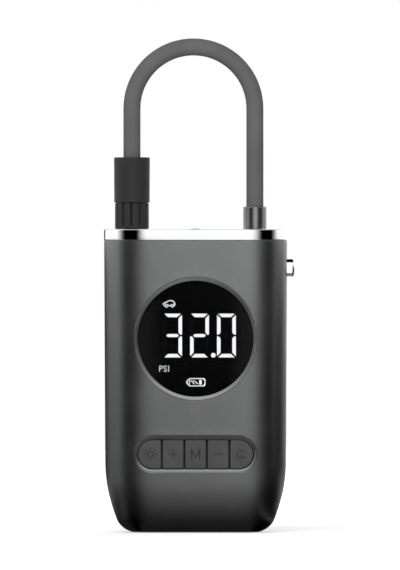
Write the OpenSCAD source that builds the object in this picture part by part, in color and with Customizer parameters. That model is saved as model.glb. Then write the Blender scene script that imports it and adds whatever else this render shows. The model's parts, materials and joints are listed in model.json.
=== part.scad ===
// Portable tire inflator: a pocket air compressor with a round display, five keys, a side
// power button and a short stiff hose that is parked in an arch over its top plate.
// The origin is the centre of the base, +Z is up and the display faces -Y.

/* [Body] */
// Width of the body
body_w = 75; // [74:0.5:90]
// Depth of the body
body_d = 45; // [44:0.5:60]
// Height of the body with its top plate
body_h = 124; // [123:0.5:150]
// Thickness of the chrome top plate
cap_h = 4.4; // [3.6:0.1:5]
// Radius of the four upright corners
corner_r = 16; // [10:0.5:17]
// Wall thickness of the shells
wall = 2; // [1.6:0.1:2.2]
// How far behind the middle the two shells meet
seam_y = 6.5; // [6:0.5:8]

/* [Rounded base] */
// Radius of the flanks, seen from the front
flank_r = 61; // [55:1:90]
// Radius of the belly, seen from the side
belly_r = 80; // [75:1:120]
// Height at which the flanks start to turn in
flank_z = 30.8; // [28:0.2:32]
// Radius of the lower corners
base_r = 10; // [8:0.5:11]

/* [Display] */
// Height of the display's centre
display_z = 79.35; // [76:0.05:84]
// Radius of the display window
display_r = 23.7; // [18:0.1:24.5]
// Width of the bevelled ring round the window
bezel_w = 1.5; // [1:0.1:2]
// Depth of the bevel
bezel_depth = 1.1; // [0.8:0.1:1.4]
// Thickness of the window
window_t = 1.2; // [0.8:0.1:1.3]
// Height of a lit digit
digit_h = 17.9; // [12:0.1:19]
// Width of a lit digit
digit_w = 7.9; // [6:0.1:8.5]
// Distance from digit to digit
digit_pitch = 11; // [10:0.1:11.5]
// Width of one segment of a digit
segment_w = 1.7; // [1:0.1:2]

/* [Keys] */
// Height of the row of keys
key_z = 32.1; // [30:0.1:36]
// Width of the whole row of keys
keys_w = 46.9; // [42:0.1:48]
// Height of a key
key_h = 11.6; // [10:0.1:12.5]
// Groove between two keys
key_groove = 0.7; // [0.5:0.1:1]
// Distance from groove to groove, which the two end keys leave to the three between them
key_pitch = 9.2; // [9:0.1:9.5]
// Width of the bevelled frame round the keys
key_frame_w = 1.95; // [1.6:0.05:2.2]
// How far the frame's bevel narrows on its way in
key_bevel = 1.5; // [1:0.1:1.6]
// Travel of a key
key_travel = 0.6; // [0.3:0.1:0.6]

/* [Side button] */
// How far the button's centre lies below the top plate's upper face
button_drop = 15.8; // [15:0.1:17]
// Diameter of the button
button_d = 7.4; // [6:0.1:8]
// How far the button stands out of the side
button_out = 3.1; // [2:0.1:4]
// Travel of the button
button_travel = 1.2; // [0.5:0.1:1.2]

/* [Hose] */
// Outer diameter of the hose
hose_d = 7; // [6.4:0.1:8]
// Bore of the hose
hose_bore = 3.5; // [3:0.1:4]
// How far the air outlet lies in from the right side
outlet_in = 13.2; // [12.9:0.1:13.8]
// How far the parking post lies in from the left side
park_in = 11.4; // [11.2:0.1:12.6]
// Height of the highest point of the arch above the base
hose_top = 202.4; // [190:0.1:240]

/* [Valve chuck] */
// Diameter of the chuck's collar
collar_d = 14.7; // [13:0.1:16]
// Height of the collar
collar_h = 18.6; // [16:0.1:24]
// Diameter of the fluted nut
nut_d = 13.9; // [13:0.1:15]
// Height of the fluted nut
nut_h = 10.8; // [10:0.1:14]
// Number of flutes on the nut
nut_flutes = 12; // [8:1:16]
// Bore of the nut's valve thread
thread_d = 7.8; // [7.5:0.1:8]
// Diameter of the parking post
post_d = 6.4; // [5:0.1:6.6]

/* [Outlet] */
// Diameter of the hose's ferrule
ferrule_d = 9.5; // [9:0.1:11]
// Height of the ferrule
ferrule_h = 9.4; // [8:0.1:12]
// Diameter of the nipple that plugs into the outlet
nipple_d = 6; // [5:0.1:6.2]
// Thickness of the outlet socket's wall
socket_wall = 1.5; // [1:0.1:1.6]

/* [Battery] */
// Diameter of a battery cell
cell_d = 18.3; // [17:0.1:18.5]
// Room between the end of a battery cell and the side wall
cell_end_gap = 3; // [2.7:0.1:5]
// Gap between the two cells
cell_gap = 0.7; // [0.5:0.1:1]
// Thickness of the battery tray's plates
tray_t = 2; // [1.6:0.1:2.2]

/* [Motor] */
// Diameter of the motor
motor_d = 24.4; // [22:0.1:24.6]
// Room between the end of the motor and the side wall
motor_end_gap = 4.5; // [4:0.1:7]
// Diameter of the motor's shaft
shaft_d = 2; // [1.5:0.1:2.3]

/* [Gears] */
// Module of the gear teeth
gear_module = 0.6; // [0.58:0.01:0.6]
// Number of teeth on the pinion
pinion_teeth = 12; // [11:1:13]
// Number of teeth on the crank gear
gear_teeth = 48; // [44:1:48]
// Width of the crank gear
gear_w = 3.5; // [3:0.1:4]
// Diameter of the crank gear's axle
axle_d = 3; // [2.5:0.1:3.5]

/* [Pump] */
// Bore of the cylinder
bore_d = 16; // [14:0.1:16.2]
// Stroke of the piston
stroke = 8; // [6:0.2:8]
// Distance between the two ends of the connecting rod
rod_l = 16; // [15.5:0.1:17]
// Height of the piston
piston_h = 7; // [6.8:0.1:7.4]
// Wall of the cylinder
cylinder_wall = 1.5; // [1.2:0.1:1.6]
// Side of the square cylinder head
head_w = 24; // [23.6:0.1:24.2]
// Height of the cylinder head
head_h = 5.6; // [5.2:0.1:6]

/* [Boards] */
// Thickness of the circuit boards
board_t = 1.6; // [1:0.1:1.6]
// Distance from the front wall to the main board
board_standoff = 5.6; // [5.4:0.1:5.8]

/* [Clearances] */
// Gap round a piece that is seated for good
slip = 0.1; // [0.05:0.01:0.15]
// Gap round a piece that turns or slides in its bearing
running = 0.05; // [0.02:0.01:0.08]
// Gap round a piece that moves freely
free_gap = 0.3; // [0.3:0.01:0.35]

/* [Hidden] */
$fn = 64;

// A length that reaches past the whole object
far = 300;
// Height of the shells
shell_h = body_h - cap_h;
// Inner faces of the front, rear and right walls
front_in = -body_d / 2 + wall;
rear_in = body_d / 2 - wall;
side_in = body_w / 2 - wall;
// How far the flank arcs bulge past the flat sides, which keeps their seam crisp
flank_out = 0.45;
// How far the lower corners sink below the base and stand out of the flanks
corner_dip = 0.15;
corner_z = base_r - corner_dip;

// Middle of the display parts, from the front face inwards
face_y = -body_d / 2;
window_y = face_y + bezel_depth + 0.25;
window_back = window_y + window_t;
digit_t = 0.12;
module_y = window_back + 0.1 + digit_t;
window_r = display_r + 0.5;
bezel_r = display_r + bezel_w;
bezel_back = window_back + 0.5;

// Main board
board_y = front_in + board_standoff;
board_back = board_y + board_t;
board_w = 44;
board_low = key_z - 12;
board_high = shell_h - 2.6;
board_screw_x = board_w / 2 - 3;
board_screw_z = [display_z - display_r - 8.2, shell_h - 8];
board_post_r = 2.5;

// Screws: shank radius, head radius and head height
small_shank = 1;
small_head = 1.9;
small_head_h = 1.2;
board_screw_l = 4;
screw_end_gap = 0.5;
boss_r = 2.4;
case_shank = 1.2;
case_head = 2.3;
case_head_h = 2;

// Case screws, as x and z of the right-hand pair
case_x = [body_w / 2 - 15.5, bezel_r + 0.8];
case_z = [9, shell_h - 32.6];
case_post_r = 3;
case_head_y = seam_y + 8.5;
case_tip_y = seam_y - 10.5;

// Keys
key_count = 5;
key_middle = (key_count - 1) / 2;
key_face_y = face_y + 0.35;
frame_y = face_y + 0.05;
frame_back_y = front_in + 1.1;
bevel_back_y = face_y + 1.2;
key_flange_y = frame_back_y + free_gap;
key_flange_t = 0.8;
key_flange_out = 0.9;
key_switch_t = 1.1;
key_plunger_y = board_y - key_switch_t - 0.4;
key_stem_y = key_plunger_y - free_gap - key_travel;

// Side button
button_z = body_h - button_drop;
button_r = button_d / 2;
bush_r = button_r + 1.3;
button_flange_x = side_in - 0.5 - free_gap;
button_flange_t = 0.8;
switch_tip_x = button_flange_x - button_flange_t - button_travel - free_gap;
switch_t = 1.8;
switch_plunger = 0.7;
switch_board_t = 1.2;
switch_board_x = switch_tip_x - switch_plunger - switch_t - switch_board_t;

// Hose and the two places where it stands on the top plate
hose_r = hose_d / 2;
hose_bore_r = hose_bore / 2;
outlet_x = body_w / 2 - outlet_in;
park_x = park_in - body_w / 2;
arch_x = (outlet_x + park_x) / 2;
arch_r = (outlet_x - park_x) / 2;
arch_z = hose_top - hose_r - arch_r;
stand_gap = 0.2;
nut_z = body_h + stand_gap;
collar_z = nut_z + nut_h + 0.05;
hose_left_z = collar_z + 7;
ferrule_z = body_h + stand_gap;
hose_right_z = ferrule_z + 3;
post_top = body_h + 6.2;
nipple_r = nipple_d / 2;
barb_r = hose_bore_r - running;
neck_r = 2.9;
flange_z = nut_z + 7.3;
flange_t = 2.2;
flange_r = 4.8;
gasket_t = 1;
chamber_z = flange_z - gasket_t - free_gap;

// Pump, worked out downwards from the top plate
pump_y = 3;
port_in = 8.3;
pump_x = outlet_x - port_in;
head_top = shell_h - 5;
head_low = head_top - head_h;
gasket_h = 0.5;
cylinder_top = head_low - gasket_h;
crown_z = cylinder_top - 0.3;
piston_z = crown_z - piston_h;
wrist_z = crown_z - 4.2;
wrist_r = 1.5;
crank_r = stroke / 2;
crank_z = wrist_z - rod_l - crank_r;
pin_r = 2;
rod_t = 4;
bore_r = bore_d / 2;
spigot_r = bore_r + cylinder_wall;
spigot_z = piston_z - stroke - 0.7;
screw_in = head_w / 2 - 2.6;

// Gears
gear_pitch_r = gear_module * gear_teeth / 2;
pinion_pitch_r = gear_module * pinion_teeth / 2;
gear_tip_r = gear_pitch_r + gear_module;
gear_gap = gear_pitch_r + pinion_pitch_r + 0.12;
gear_front_x = pump_x - 10.5;
gear_back_x = gear_front_x - gear_w;
pressure_angle = 20;
backlash_angle = 0.5;

// Pump frame
plate_x = gear_back_x - 1;
plate_t = 3;
deck_z = crank_z + gear_tip_r + 0.6;
deck_t = 3;
deck_top = deck_z + deck_t;
ear_y = pump_y + 11;
ear_t = 2.5;
axle_r = axle_d / 2;
axle_bush_r = axle_r + 1.5;
bush_l = 9;

// Motor
motor_z = crank_z - gear_gap;
motor_r = motor_d / 2;
motor_x = plate_x - plate_t;
motor_l = motor_x + side_in - motor_end_gap;
motor_wall = 0.8;
endcap_t = 3;
motor_nose_r = 3;
shaft_r = shaft_d / 2;
motor_screw_y = 8;
magnet_t = 1.6;
magnet_in = 3;
magnet_back = 8;
armature_in = 5;
armature_back = 9;
commutator_l = 3.5;
winding_gap = 2.4;
pole_root = 4.5;

// Battery, hung below the motor
cell_r = cell_d / 2;
cell_l = 2 * (side_in - cell_end_gap);
cell_y = 2;
cell_high_z = motor_z - motor_r - 1 - cell_r;
cell_low_z = cell_high_z - cell_d - cell_gap;
tab_t = 0.3;
tray_top = cell_low_z - cell_r - 0.7;
tray_low = tray_top - tray_t;
rib_t = 4;
rib_x = body_w / 2 - 11.5;
rib_side = 3.3;
tray_back_y = cell_y + cell_r + rib_side;
tray_screw_x = rib_x - 8;
tray_screw_z = (cell_low_z + cell_high_z) / 2;

// Charging board below the tray
usb_h = 3.2;
usb_w = 8.9;
usb_l = 7.4;
usb_z = tray_low - 0.8 - usb_h;
charge_t = 1;
usb_y = belly_y(usb_z + usb_h / 2, wall) + 0.8 - usb_l;

// Chips on the back of the main board, each as its left side, its foot above the keys' middle,
// its width, its height and its thickness, and a row of four driver chips
chips = [
  [3 - board_w / 2, 22, 8, 8, 1.4],
  [board_w / 2 - 10, 23, 5, 6, 1.6],
  [1 - board_w / 2, 68.5, 7, 6, 3]
];
driver_chip = [board_w / 2 - 3, 26, 3, 2.4, 1.1];
driver_pitch = 5;

// Sensor on the main board
sensor_x = pump_x - 8;
sensor_z = head_low + 2.4;
sensor_y = board_back + 2.3;
sensor_r = 1.1;

// Vents in the rear shell, behind the crank
vent_w = 1.8;
vent_h = 16;
vent_pitch = 5;
vent_z = crank_z - 2;

// Skirt of the top plate, and the lamp under it
skirt_h = 3.6;
skirt_t = 1.2;
led_r = 2.45;
led_board_z = shell_h - 3.4;
led_board_t = 1;
led_post_x = 6;

// Screw places on the pump frame, as [x, z]
frame_ears = [
  [motor_x - 4, deck_z - 3.6],
  [pump_x + 6.5, deck_z - 4],
  [plate_x + 4, motor_z - 8.9]
];

// Depth of the body's rear face at a height, for a surface that lies inset below the skin
function belly_y(z, inset) =
  body_d / 2 + flank_out - belly_r + sqrt(pow(belly_r - inset, 2) - pow(flank_z - z, 2));

// A point in polar form
function polar(r, a) = [r * cos(a), r * sin(a)];

// Involute function, in degrees, of an angle
function inv(a) = tan(a) * 180 / PI - a;

// Half the angle that a tooth takes up at a radius
function tooth_half(teeth, r) =
  let (base = gear_module * teeth / 2 * cos(pressure_angle))
  90 / teeth - backlash_angle * 12 / teeth + inv(pressure_angle)
  - inv(acos(min(1, base / max(r, base))));

// Outline of a gear, with its flanks as involutes in four steps
function gear_points(teeth, root, tip) = [
  for (
    i = [0:teeth - 1],
    side = [-1, 1],
    k = side < 0 ? [0:4] : [4:-1:0]
  )
    let (r = root + (tip - root) * k / 4)
    polar(r, 360 * i / teeth + side * tooth_half(teeth, r))
];

// ---------- Shapes that several parts use ----------

module rod_along_x(r, x0, x1, y, z) {
  translate([x0, y, z]) rotate([0, 90, 0]) cylinder(r = r, h = x1 - x0);
}

module rod_along_y(r, y0, y1, x, z) {
  translate([x, y0, z]) rotate([-90, 0, 0]) cylinder(r = r, h = y1 - y0);
}

module rod_along_z(r, z0, z1, x, y) {
  translate([x, y, z0]) cylinder(r = r, h = z1 - z0);
}

module block(x0, x1, y0, y1, z0, z1) {
  translate([x0, y0, z0]) cube([x1 - x0, y1 - y0, z1 - z0]);
}

module slab(w, d, r) {
  square([w - 2 * r, d], center = true);
  square([w, d - 2 * r], center = true);
  for (x = [-1, 1], y = [-1, 1])
    translate([x * (w / 2 - r), y * (d / 2 - r)]) circle(r = r);
}

module stadium(w, h) {
  square([w - h, h], center = true);
  for (s = [-1, 1])
    translate([s * (w - h) / 2, 0]) circle(r = h / 2);
}

// Extrudes an outline drawn in x and z from one depth to another
module upright(y0, y1) {
  translate([0, y1, 0]) rotate([90, 0, 0]) linear_extrude(height = y1 - y0) children();
}

// ---------- The body ----------

// Outline of the body with its rounded base, seen from the front or the side
module base_outline(half, arc_r, inset) {
  arc_x = half + flank_out - arc_r;
  turn = asin((flank_z - corner_z) / (arc_r - base_r));
  corner_x = arc_x + (arc_r - base_r) * cos(turn) + corner_dip;
  cut_z = corner_z - (base_r - inset) * sin(turn);
  top_half = half + flank_out / 2;
  intersection() {
    translate([-far / 2, inset]) square([far, far]);
    union() {
      translate([-top_half, flank_z - 1]) square([2 * top_half, far]);
      intersection() {
        translate([arc_x, flank_z]) circle(r = arc_r - inset);
        translate([-arc_x, flank_z]) circle(r = arc_r - inset);
        translate([-far / 2, cut_z]) square([far, flank_z - cut_z]);
      }
      for (s = [-1, 1])
        translate([s * corner_x, corner_z]) circle(r = base_r - inset);
      translate([-corner_x, 0]) square([2 * corner_x, flank_z]);
    }
  }
}

module body_form(inset, top) {
  intersection() {
    linear_extrude(height = top)
      slab(body_w - 2 * inset, body_d - 2 * inset, corner_r - inset);
    rotate([90, 0, 0]) linear_extrude(height = far, center = true)
      base_outline(body_w / 2, flank_r, inset);
    rotate([90, 0, 90]) linear_extrude(height = far, center = true)
      base_outline(body_d / 2, belly_r, inset);
  }
}

module walls() {
  difference() {
    body_form(0, shell_h);
    body_form(wall, shell_h + 1);
  }
}

// Posts and ribs inside a shell, trimmed to end in the wall
module inner_posts() {
  intersection() {
    body_form(wall / 2, shell_h - 1);
    union() children();
  }
}

module at_case_screws() {
  for (s = [-1, 1], i = [0, 1])
    translate([s * case_x[i], 0, case_z[i]]) children();
}

module at_board_screws() {
  for (s = [-1, 1], z = board_screw_z)
    translate([s * board_screw_x, 0, z]) children();
}

module at_switch_posts() {
  for (y = [-5, 5], z = [-5.8, 5.8])
    translate([0, y, button_z + z]) children();
}

module front_shell() {
  color([0.36, 0.36, 0.37])
  difference() {
    union() {
      intersection() {
        walls();
        block(-far / 2, far / 2, -far / 2, seam_y, -1, far);
      }
      inner_posts() {
        at_case_screws() rod_along_y(case_post_r, face_y, seam_y, 0, 0);
        at_board_screws() rod_along_y(board_post_r, face_y, board_y, 0, 0);
        at_switch_posts()
          rod_along_x(1.2, switch_board_x + switch_board_t, body_w / 2, 0, 0);
      }
    }
    at_case_screws() rod_along_y(case_shank + running, case_tip_y - screw_end_gap, far, 0, 0);
    at_board_screws()
      rod_along_y(small_shank + running, board_y - board_screw_l - screw_end_gap, board_y + 1, 0, 0);
    rod_along_y(bezel_r, face_y - 1, front_in + 2, 0, display_z);
    upright(face_y - 1, front_in + 2)
      translate([0, key_z]) stadium(keys_w + 2 * key_frame_w, key_h + 2 * key_frame_w);
    rod_along_x(bush_r + slip, side_in - 1, body_w / 2 + 1, 0, button_z);
  }
}

module rear_shell() {
  color([0.34, 0.34, 0.35])
  difference() {
    union() {
      intersection() {
        walls();
        block(-far / 2, far / 2, seam_y, far / 2, -1, far);
      }
      inner_posts() {
        at_case_screws() rod_along_y(case_post_r + 0.4, seam_y, body_d / 2, 0, 0);
        for (e = frame_ears)
          rod_along_y(boss_r, ear_y + ear_t, body_d / 2, e[0], e[1]);
        for (s = [-1, 1])
          rod_along_y(boss_r, tray_back_y + tray_t, body_d / 2, s * tray_screw_x, tray_screw_z);
      }
    }
    at_case_screws() rod_along_y(case_shank + running, seam_y - 1, far, 0, 0);
    at_case_screws() rod_along_y(case_head + free_gap, case_head_y - case_head_h, far, 0, 0);
    for (e = frame_ears)
      rod_along_y(small_shank + running, ear_y, rear_in - 0.5, e[0], e[1]);
    for (s = [-1, 1])
      rod_along_y(small_shank + running, tray_back_y, rear_in - 0.5, s * tray_screw_x, tray_screw_z);
    for (i = [-2:2])
      upright(rear_in - 1, body_d / 2 + 1)
        translate([i * vent_pitch, vent_z]) rotate(90) stadium(vent_h, vent_w);
    upright(rear_in - 6, body_d / 2 + 1)
      translate([0, usb_z + usb_h / 2]) stadium(usb_w + 2 * free_gap, usb_h + 2 * free_gap);
  }
}

module top_cap() {
  skirt_in = wall + slip;
  color([0.85, 0.85, 0.86])
  difference() {
    union() {
      translate([0, 0, shell_h]) linear_extrude(height = cap_h)
        slab(body_w, body_d, corner_r);
      translate([0, 0, shell_h - skirt_h]) linear_extrude(height = skirt_h) difference() {
        slab(body_w - 2 * skirt_in, body_d - 2 * skirt_in, corner_r - skirt_in);
        slab(
          body_w - 2 * (skirt_in + skirt_t),
          body_d - 2 * (skirt_in + skirt_t),
          corner_r - skirt_in - skirt_t
        );
      }
      for (s = [-1, 1])
        rod_along_z(1.2, led_board_z + led_board_t, shell_h, s * led_post_x, 0);
    }
    rod_along_z(led_r + slip, shell_h - 1, far, 0, 0);
    rod_along_z(nipple_r + running + socket_wall + slip, shell_h - 1, far, outlet_x, 0);
    rod_along_z(post_d / 4 + slip, shell_h - 1, far, park_x, 0);
  }
}

module case_screws() {
  color([0.2, 0.2, 0.2])
  at_case_screws() difference() {
    union() {
      rod_along_y(case_head, case_head_y - case_head_h, case_head_y, 0, 0);
      rod_along_y(case_shank, case_tip_y, case_head_y - case_head_h, 0, 0);
    }
    cross_slot(case_head_y);
  }
}

// Crossed driver slots in a screw head that faces +Y
module cross_slot(head_y) {
  block(-1.3, 1.3, head_y - 0.8, head_y + 1, -0.3, 0.3);
  block(-0.3, 0.3, head_y - 0.8, head_y + 1, -1.3, 1.3);
}

// ---------- The display ----------

module display_bezel() {
  color([0.3, 0.3, 0.31])
  translate([0, 0, display_z]) rotate([-90, 0, 0]) rotate_extrude()
    polygon([
      [bezel_r - slip, face_y + 0.1],
      [display_r, face_y + 0.1 + bezel_depth],
      [display_r, window_y],
      [window_r + slip, window_y],
      [window_r + slip, bezel_back],
      [bezel_r - slip, bezel_back]
    ]);
}

module display_window() {
  color([0.05, 0.05, 0.06])
  rod_along_y(window_r, window_y, window_back, 0, display_z);
}

// One segment: a bar with pointed ends
module segment(length) {
  half = length / 2;
  tip = segment_w / 2;
  polygon([[-half, 0], [tip - half, tip], [half - tip, tip], [half, 0], [half - tip, -tip],
    [tip - half, -tip]]);
}

// Segments in the order top, upper right, lower right, bottom, lower left, upper left, middle
module digit(lit) {
  wide = digit_w - segment_w;
  tall = (digit_h - segment_w) / 2;
  joint_gap = 0.25;
  if (lit[0]) translate([0, tall]) segment(wide - joint_gap);
  if (lit[1]) translate([wide / 2, tall / 2]) rotate(90) segment(tall - joint_gap);
  if (lit[2]) translate([wide / 2, -tall / 2]) rotate(90) segment(tall - joint_gap);
  if (lit[3]) translate([0, -tall]) segment(wide - joint_gap);
  if (lit[4]) translate([-wide / 2, -tall / 2]) rotate(90) segment(tall - joint_gap);
  if (lit[5]) translate([-wide / 2, tall / 2]) rotate(90) segment(tall - joint_gap);
  if (lit[6]) segment(wide - joint_gap);
}

// A car from its side, as lines round its cabin and two wheels
module car_sign(w) {
  difference() {
    union() {
      polygon([
        [-0.5 * w, 0.13 * w], [-0.5 * w, 0.32 * w], [-0.36 * w, 0.37 * w], [-0.22 * w, 0.62 * w],
        [0.16 * w, 0.62 * w], [0.34 * w, 0.38 * w], [0.5 * w, 0.33 * w], [0.5 * w, 0.13 * w]
      ]);
      for (s = [-1, 1])
        translate([s * 0.27 * w, 0.12 * w]) circle(r = 0.12 * w, $fn = 16);
    }
    polygon([[-0.25 * w, 0.38 * w], [-0.16 * w, 0.54 * w], [0.11 * w, 0.54 * w], [0.22 * w, 0.38 * w]]);
  }
}

module battery_sign(w) {
  h = 0.46 * w;
  line = 0.05 * w;
  difference() {
    square([w, h], center = true);
    square([w - 2 * line, h - 2 * line], center = true);
  }
  translate([-w / 2 - 0.06 * w, -h / 6]) square([0.06 * w, h / 3]);
  translate([0.26 * w, -h / 2 + 2 * line]) square([0.14 * w, h - 4 * line]);
}

module display_digits() {
  color([0.9, 0.92, 0.95])
  upright(module_y - digit_t, module_y) translate([1.6, display_z + 1.3]) {
    translate([-digit_pitch, 0]) digit([1, 1, 1, 1, 0, 0, 1]);
    digit([1, 1, 0, 1, 1, 0, 1]);
    translate([digit_pitch, 0]) digit([1, 1, 1, 1, 1, 1, 0]);
    translate([digit_pitch / 2 + 0.15, 0.9 - digit_h / 2]) circle(r = 0.95, $fn = 24);
    translate([-digit_pitch - 1.3, digit_h / 2 + 2.8]) car_sign(5.4);
    translate([-1.5, -digit_h / 2 - 10]) battery_sign(7.6);
  }
}

module display_module() {
  color([0.08, 0.08, 0.09])
  difference() {
    rod_along_y(window_r - 0.7, module_y, board_y, 0, display_z);
    rod_along_y(window_r - 2, module_y + 1, board_y - 1, 0, display_z);
  }
}

// ---------- The keys ----------

// A stadium that runs in from one depth to another and narrows evenly on all sides
module stadium_funnel(w, h, y0, y1, narrow) {
  run = (w - h) / 2;
  for (s = [-1, 1])
    translate([s * run, y0, 0]) rotate([-90, 0, 0])
      cylinder(r1 = h / 2, r2 = h / 2 - narrow, h = y1 - y0);
  rotate([90, 0, 90]) linear_extrude(height = 2 * run, center = true)
    polygon([[y0, -h / 2], [y0, h / 2], [y1, h / 2 - narrow], [y1, narrow - h / 2]]);
}

module keypad_frame() {
  outer_w = keys_w + 2 * key_frame_w - 2 * slip;
  outer_h = key_h + 2 * key_frame_w - 2 * slip;
  land = 0.15;
  color([0.34, 0.34, 0.35])
  translate([0, 0, key_z]) difference() {
    upright(frame_y, frame_back_y) stadium(outer_w, outer_h);
    stadium_funnel(outer_w - 2 * land, outer_h - 2 * land, frame_y, bevel_back_y, key_bevel);
    upright(frame_y - 1, frame_back_y + 1)
      stadium(keys_w + 2 * free_gap, key_h + 2 * free_gap);
  }
}

// The part of the row of keys that belongs to one key, counted from 0 at the left
module key_slice(i, grow) {
  x0 = i == 0
    ? -keys_w / 2 - grow
    : (i - key_middle - 0.5) * key_pitch + key_groove / 2;
  x1 = i == key_count - 1
    ? keys_w / 2 + grow
    : (i - key_middle + 0.5) * key_pitch - key_groove / 2;
  intersection() {
    stadium(keys_w + 2 * grow, key_h + 2 * grow);
    translate([x0, -far / 2]) square([x1 - x0, far]);
  }
}

module key(i) {
  middle = (i - key_middle) * key_pitch;
  color([0.3, 0.3, 0.31])
  translate([0, 0, key_z]) {
    upright(key_face_y, key_flange_y + key_flange_t) key_slice(i, 0);
    upright(key_flange_y, key_flange_y + key_flange_t) key_slice(i, key_flange_out);
    rod_along_y(1.5, key_flange_y, key_stem_y, middle, 0);
  }
}

module key_light() {
  key(0);
}

module key_plus() {
  key(1);
}

module key_mode() {
  key(2);
}

module key_minus() {
  key(3);
}

module key_unit() {
  key(4);
}

module key_switches() {
  color([0.7, 0.7, 0.72])
  for (i = [0:key_count - 1])
    translate([(i - key_middle) * key_pitch, 0, key_z]) {
      block(-2.5, 2.5, board_y - key_switch_t, board_y, -2.5, 2.5);
      rod_along_y(1.2, key_plunger_y, board_y - key_switch_t, 0, 0);
    }
}

// ---------- The boards ----------

module main_board() {
  color([0.05, 0.3, 0.15])
  difference() {
    block(-board_w / 2, board_w / 2, board_y, board_back, board_low, board_high);
    at_board_screws() rod_along_y(small_shank + slip, board_y - 1, board_back + 1, 0, 0);
  }
}

// A chip soldered on the back of the main board
module chip(c) {
  translate([c[0], board_back, key_z + c[1]]) cube([c[2], c[4], c[3]]);
}

// Controller, driver and storage coil, and the driver chips beside them
module board_parts() {
  color([0.1, 0.1, 0.1]) {
    for (c = chips)
      chip(c);
    for (i = [0:3])
      translate([0, 0, i * driver_pitch]) chip(driver_chip);
  }
}

module board_screws() {
  color([0.6, 0.6, 0.6])
  at_board_screws() difference() {
    union() {
      rod_along_y(small_head, board_back, board_back + small_head_h, 0, 0);
      rod_along_y(small_shank, board_y - board_screw_l, board_back, 0, 0);
    }
    cross_slot(board_back + small_head_h);
  }
}

module charge_board() {
  color([0.05, 0.3, 0.15])
  block(-14, 14, cell_y - 4, usb_y + 4.5, usb_z - charge_t, usb_z);
}

module usb_socket() {
  color([0.7, 0.7, 0.72])
  translate([0, 0, usb_z + usb_h / 2]) {
    upright(usb_y, usb_y + usb_l) difference() {
      stadium(usb_w, usb_h);
      stadium(usb_w - 0.7, usb_h - 0.7);
    }
    upright(usb_y, usb_y + 1) stadium(usb_w - 0.7, usb_h - 0.7);
    block(-3.3, 3.3, usb_y + 1, usb_y + usb_l - 1, -0.35, 0.35);
  }
}

// ---------- The side button and the lamp ----------

module power_button() {
  tip_x = body_w / 2 + button_out;
  dome = 1;
  color([0.85, 0.85, 0.86])
  translate([0, 0, button_z]) rotate([0, 90, 0]) rotate_extrude()
    polygon([
      [0, button_flange_x - button_flange_t],
      [bush_r - 0.3, button_flange_x - button_flange_t],
      [bush_r - 0.3, button_flange_x],
      [button_r, button_flange_x],
      [button_r, tip_x - dome],
      [button_r - 0.3 * dome, tip_x - 0.3 * dome],
      [button_r - dome, tip_x],
      [0, tip_x]
    ]);
}

module button_bush() {
  color([0.15, 0.15, 0.15])
  difference() {
    rod_along_x(bush_r, side_in - 0.5, body_w / 2 - 0.3, 0, button_z);
    rod_along_x(button_r + free_gap, side_in - 1, body_w / 2 + 1, 0, button_z);
  }
}

module power_switch() {
  color([0.2, 0.2, 0.2]) {
    block(switch_board_x, switch_board_x + switch_board_t, -6.8, 6.3, button_z - 7.4, button_z + 7.4);
    translate([switch_board_x + switch_board_t, -3, button_z - 3]) cube([switch_t, 6, 6]);
    rod_along_x(1.5, switch_tip_x - switch_plunger, switch_tip_x, 0, button_z);
  }
}

module led_lens() {
  dome_h = 0.5;
  dome_r = (led_r * led_r + dome_h * dome_h) / (2 * dome_h);
  color([0.95, 0.95, 0.9])
  union() {
    intersection() {
      rod_along_z(led_r, shell_h, body_h + 1, 0, 0);
      translate([0, 0, body_h + dome_h - dome_r]) sphere(r = dome_r);
    }
    rod_along_z(led_r + 0.8, shell_h - 0.9, shell_h, 0, 0);
  }
}

module led_board() {
  color([0.9, 0.9, 0.9]) {
    block(-8, 8, -4, 4, led_board_z, led_board_z + led_board_t);
    block(-1.4, 1.4, -1.4, 1.4, led_board_z + led_board_t, led_board_z + led_board_t + 1.2);
  }
}

// ---------- The battery ----------

module battery_cells() {
  color([0.15, 0.35, 0.6])
  for (z = [cell_low_z, cell_high_z])
    rod_along_x(cell_r, -cell_l / 2, cell_l / 2, cell_y, z);
}

module battery_tabs() {
  inset = 3.5;
  color([0.75, 0.75, 0.72]) {
    block(-cell_l / 2 - tab_t, -cell_l / 2, cell_y - 3, cell_y + 3,
      cell_low_z - inset, cell_high_z + inset);
    for (z = [cell_low_z, cell_high_z])
      block(cell_l / 2, cell_l / 2 + tab_t, cell_y - 3, cell_y + 3, z - inset, z + inset);
  }
}

module battery_tray() {
  front = cell_y - cell_r - rib_side;
  color([0.12, 0.12, 0.12])
  difference() {
    union() {
      for (x = [-rib_x, 0, rib_x])
        block(x - rib_t / 2, x + rib_t / 2, front, tray_back_y + 0.1,
          tray_top - 0.1, cell_high_z + 4.5);
      block(-rib_x - rib_t / 2, rib_x + rib_t / 2, front, tray_back_y + tray_t, tray_low, tray_top);
      block(-rib_x - rib_t / 2, rib_x + rib_t / 2, tray_back_y, tray_back_y + tray_t,
        tray_top - 0.1, cell_high_z);
      for (s = [-1, 1])
        rod_along_z(1.6, usb_z, tray_low + 0.1, s * 11, cell_y + 1);
    }
    for (z = [cell_low_z, cell_high_z])
      rod_along_x(cell_r + slip, -far / 2, far / 2, cell_y, z);
    for (s = [-1, 1])
      rod_along_y(small_shank + slip, tray_back_y - 1, far, s * tray_screw_x, tray_screw_z);
  }
}

// ---------- The motor ----------

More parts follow.
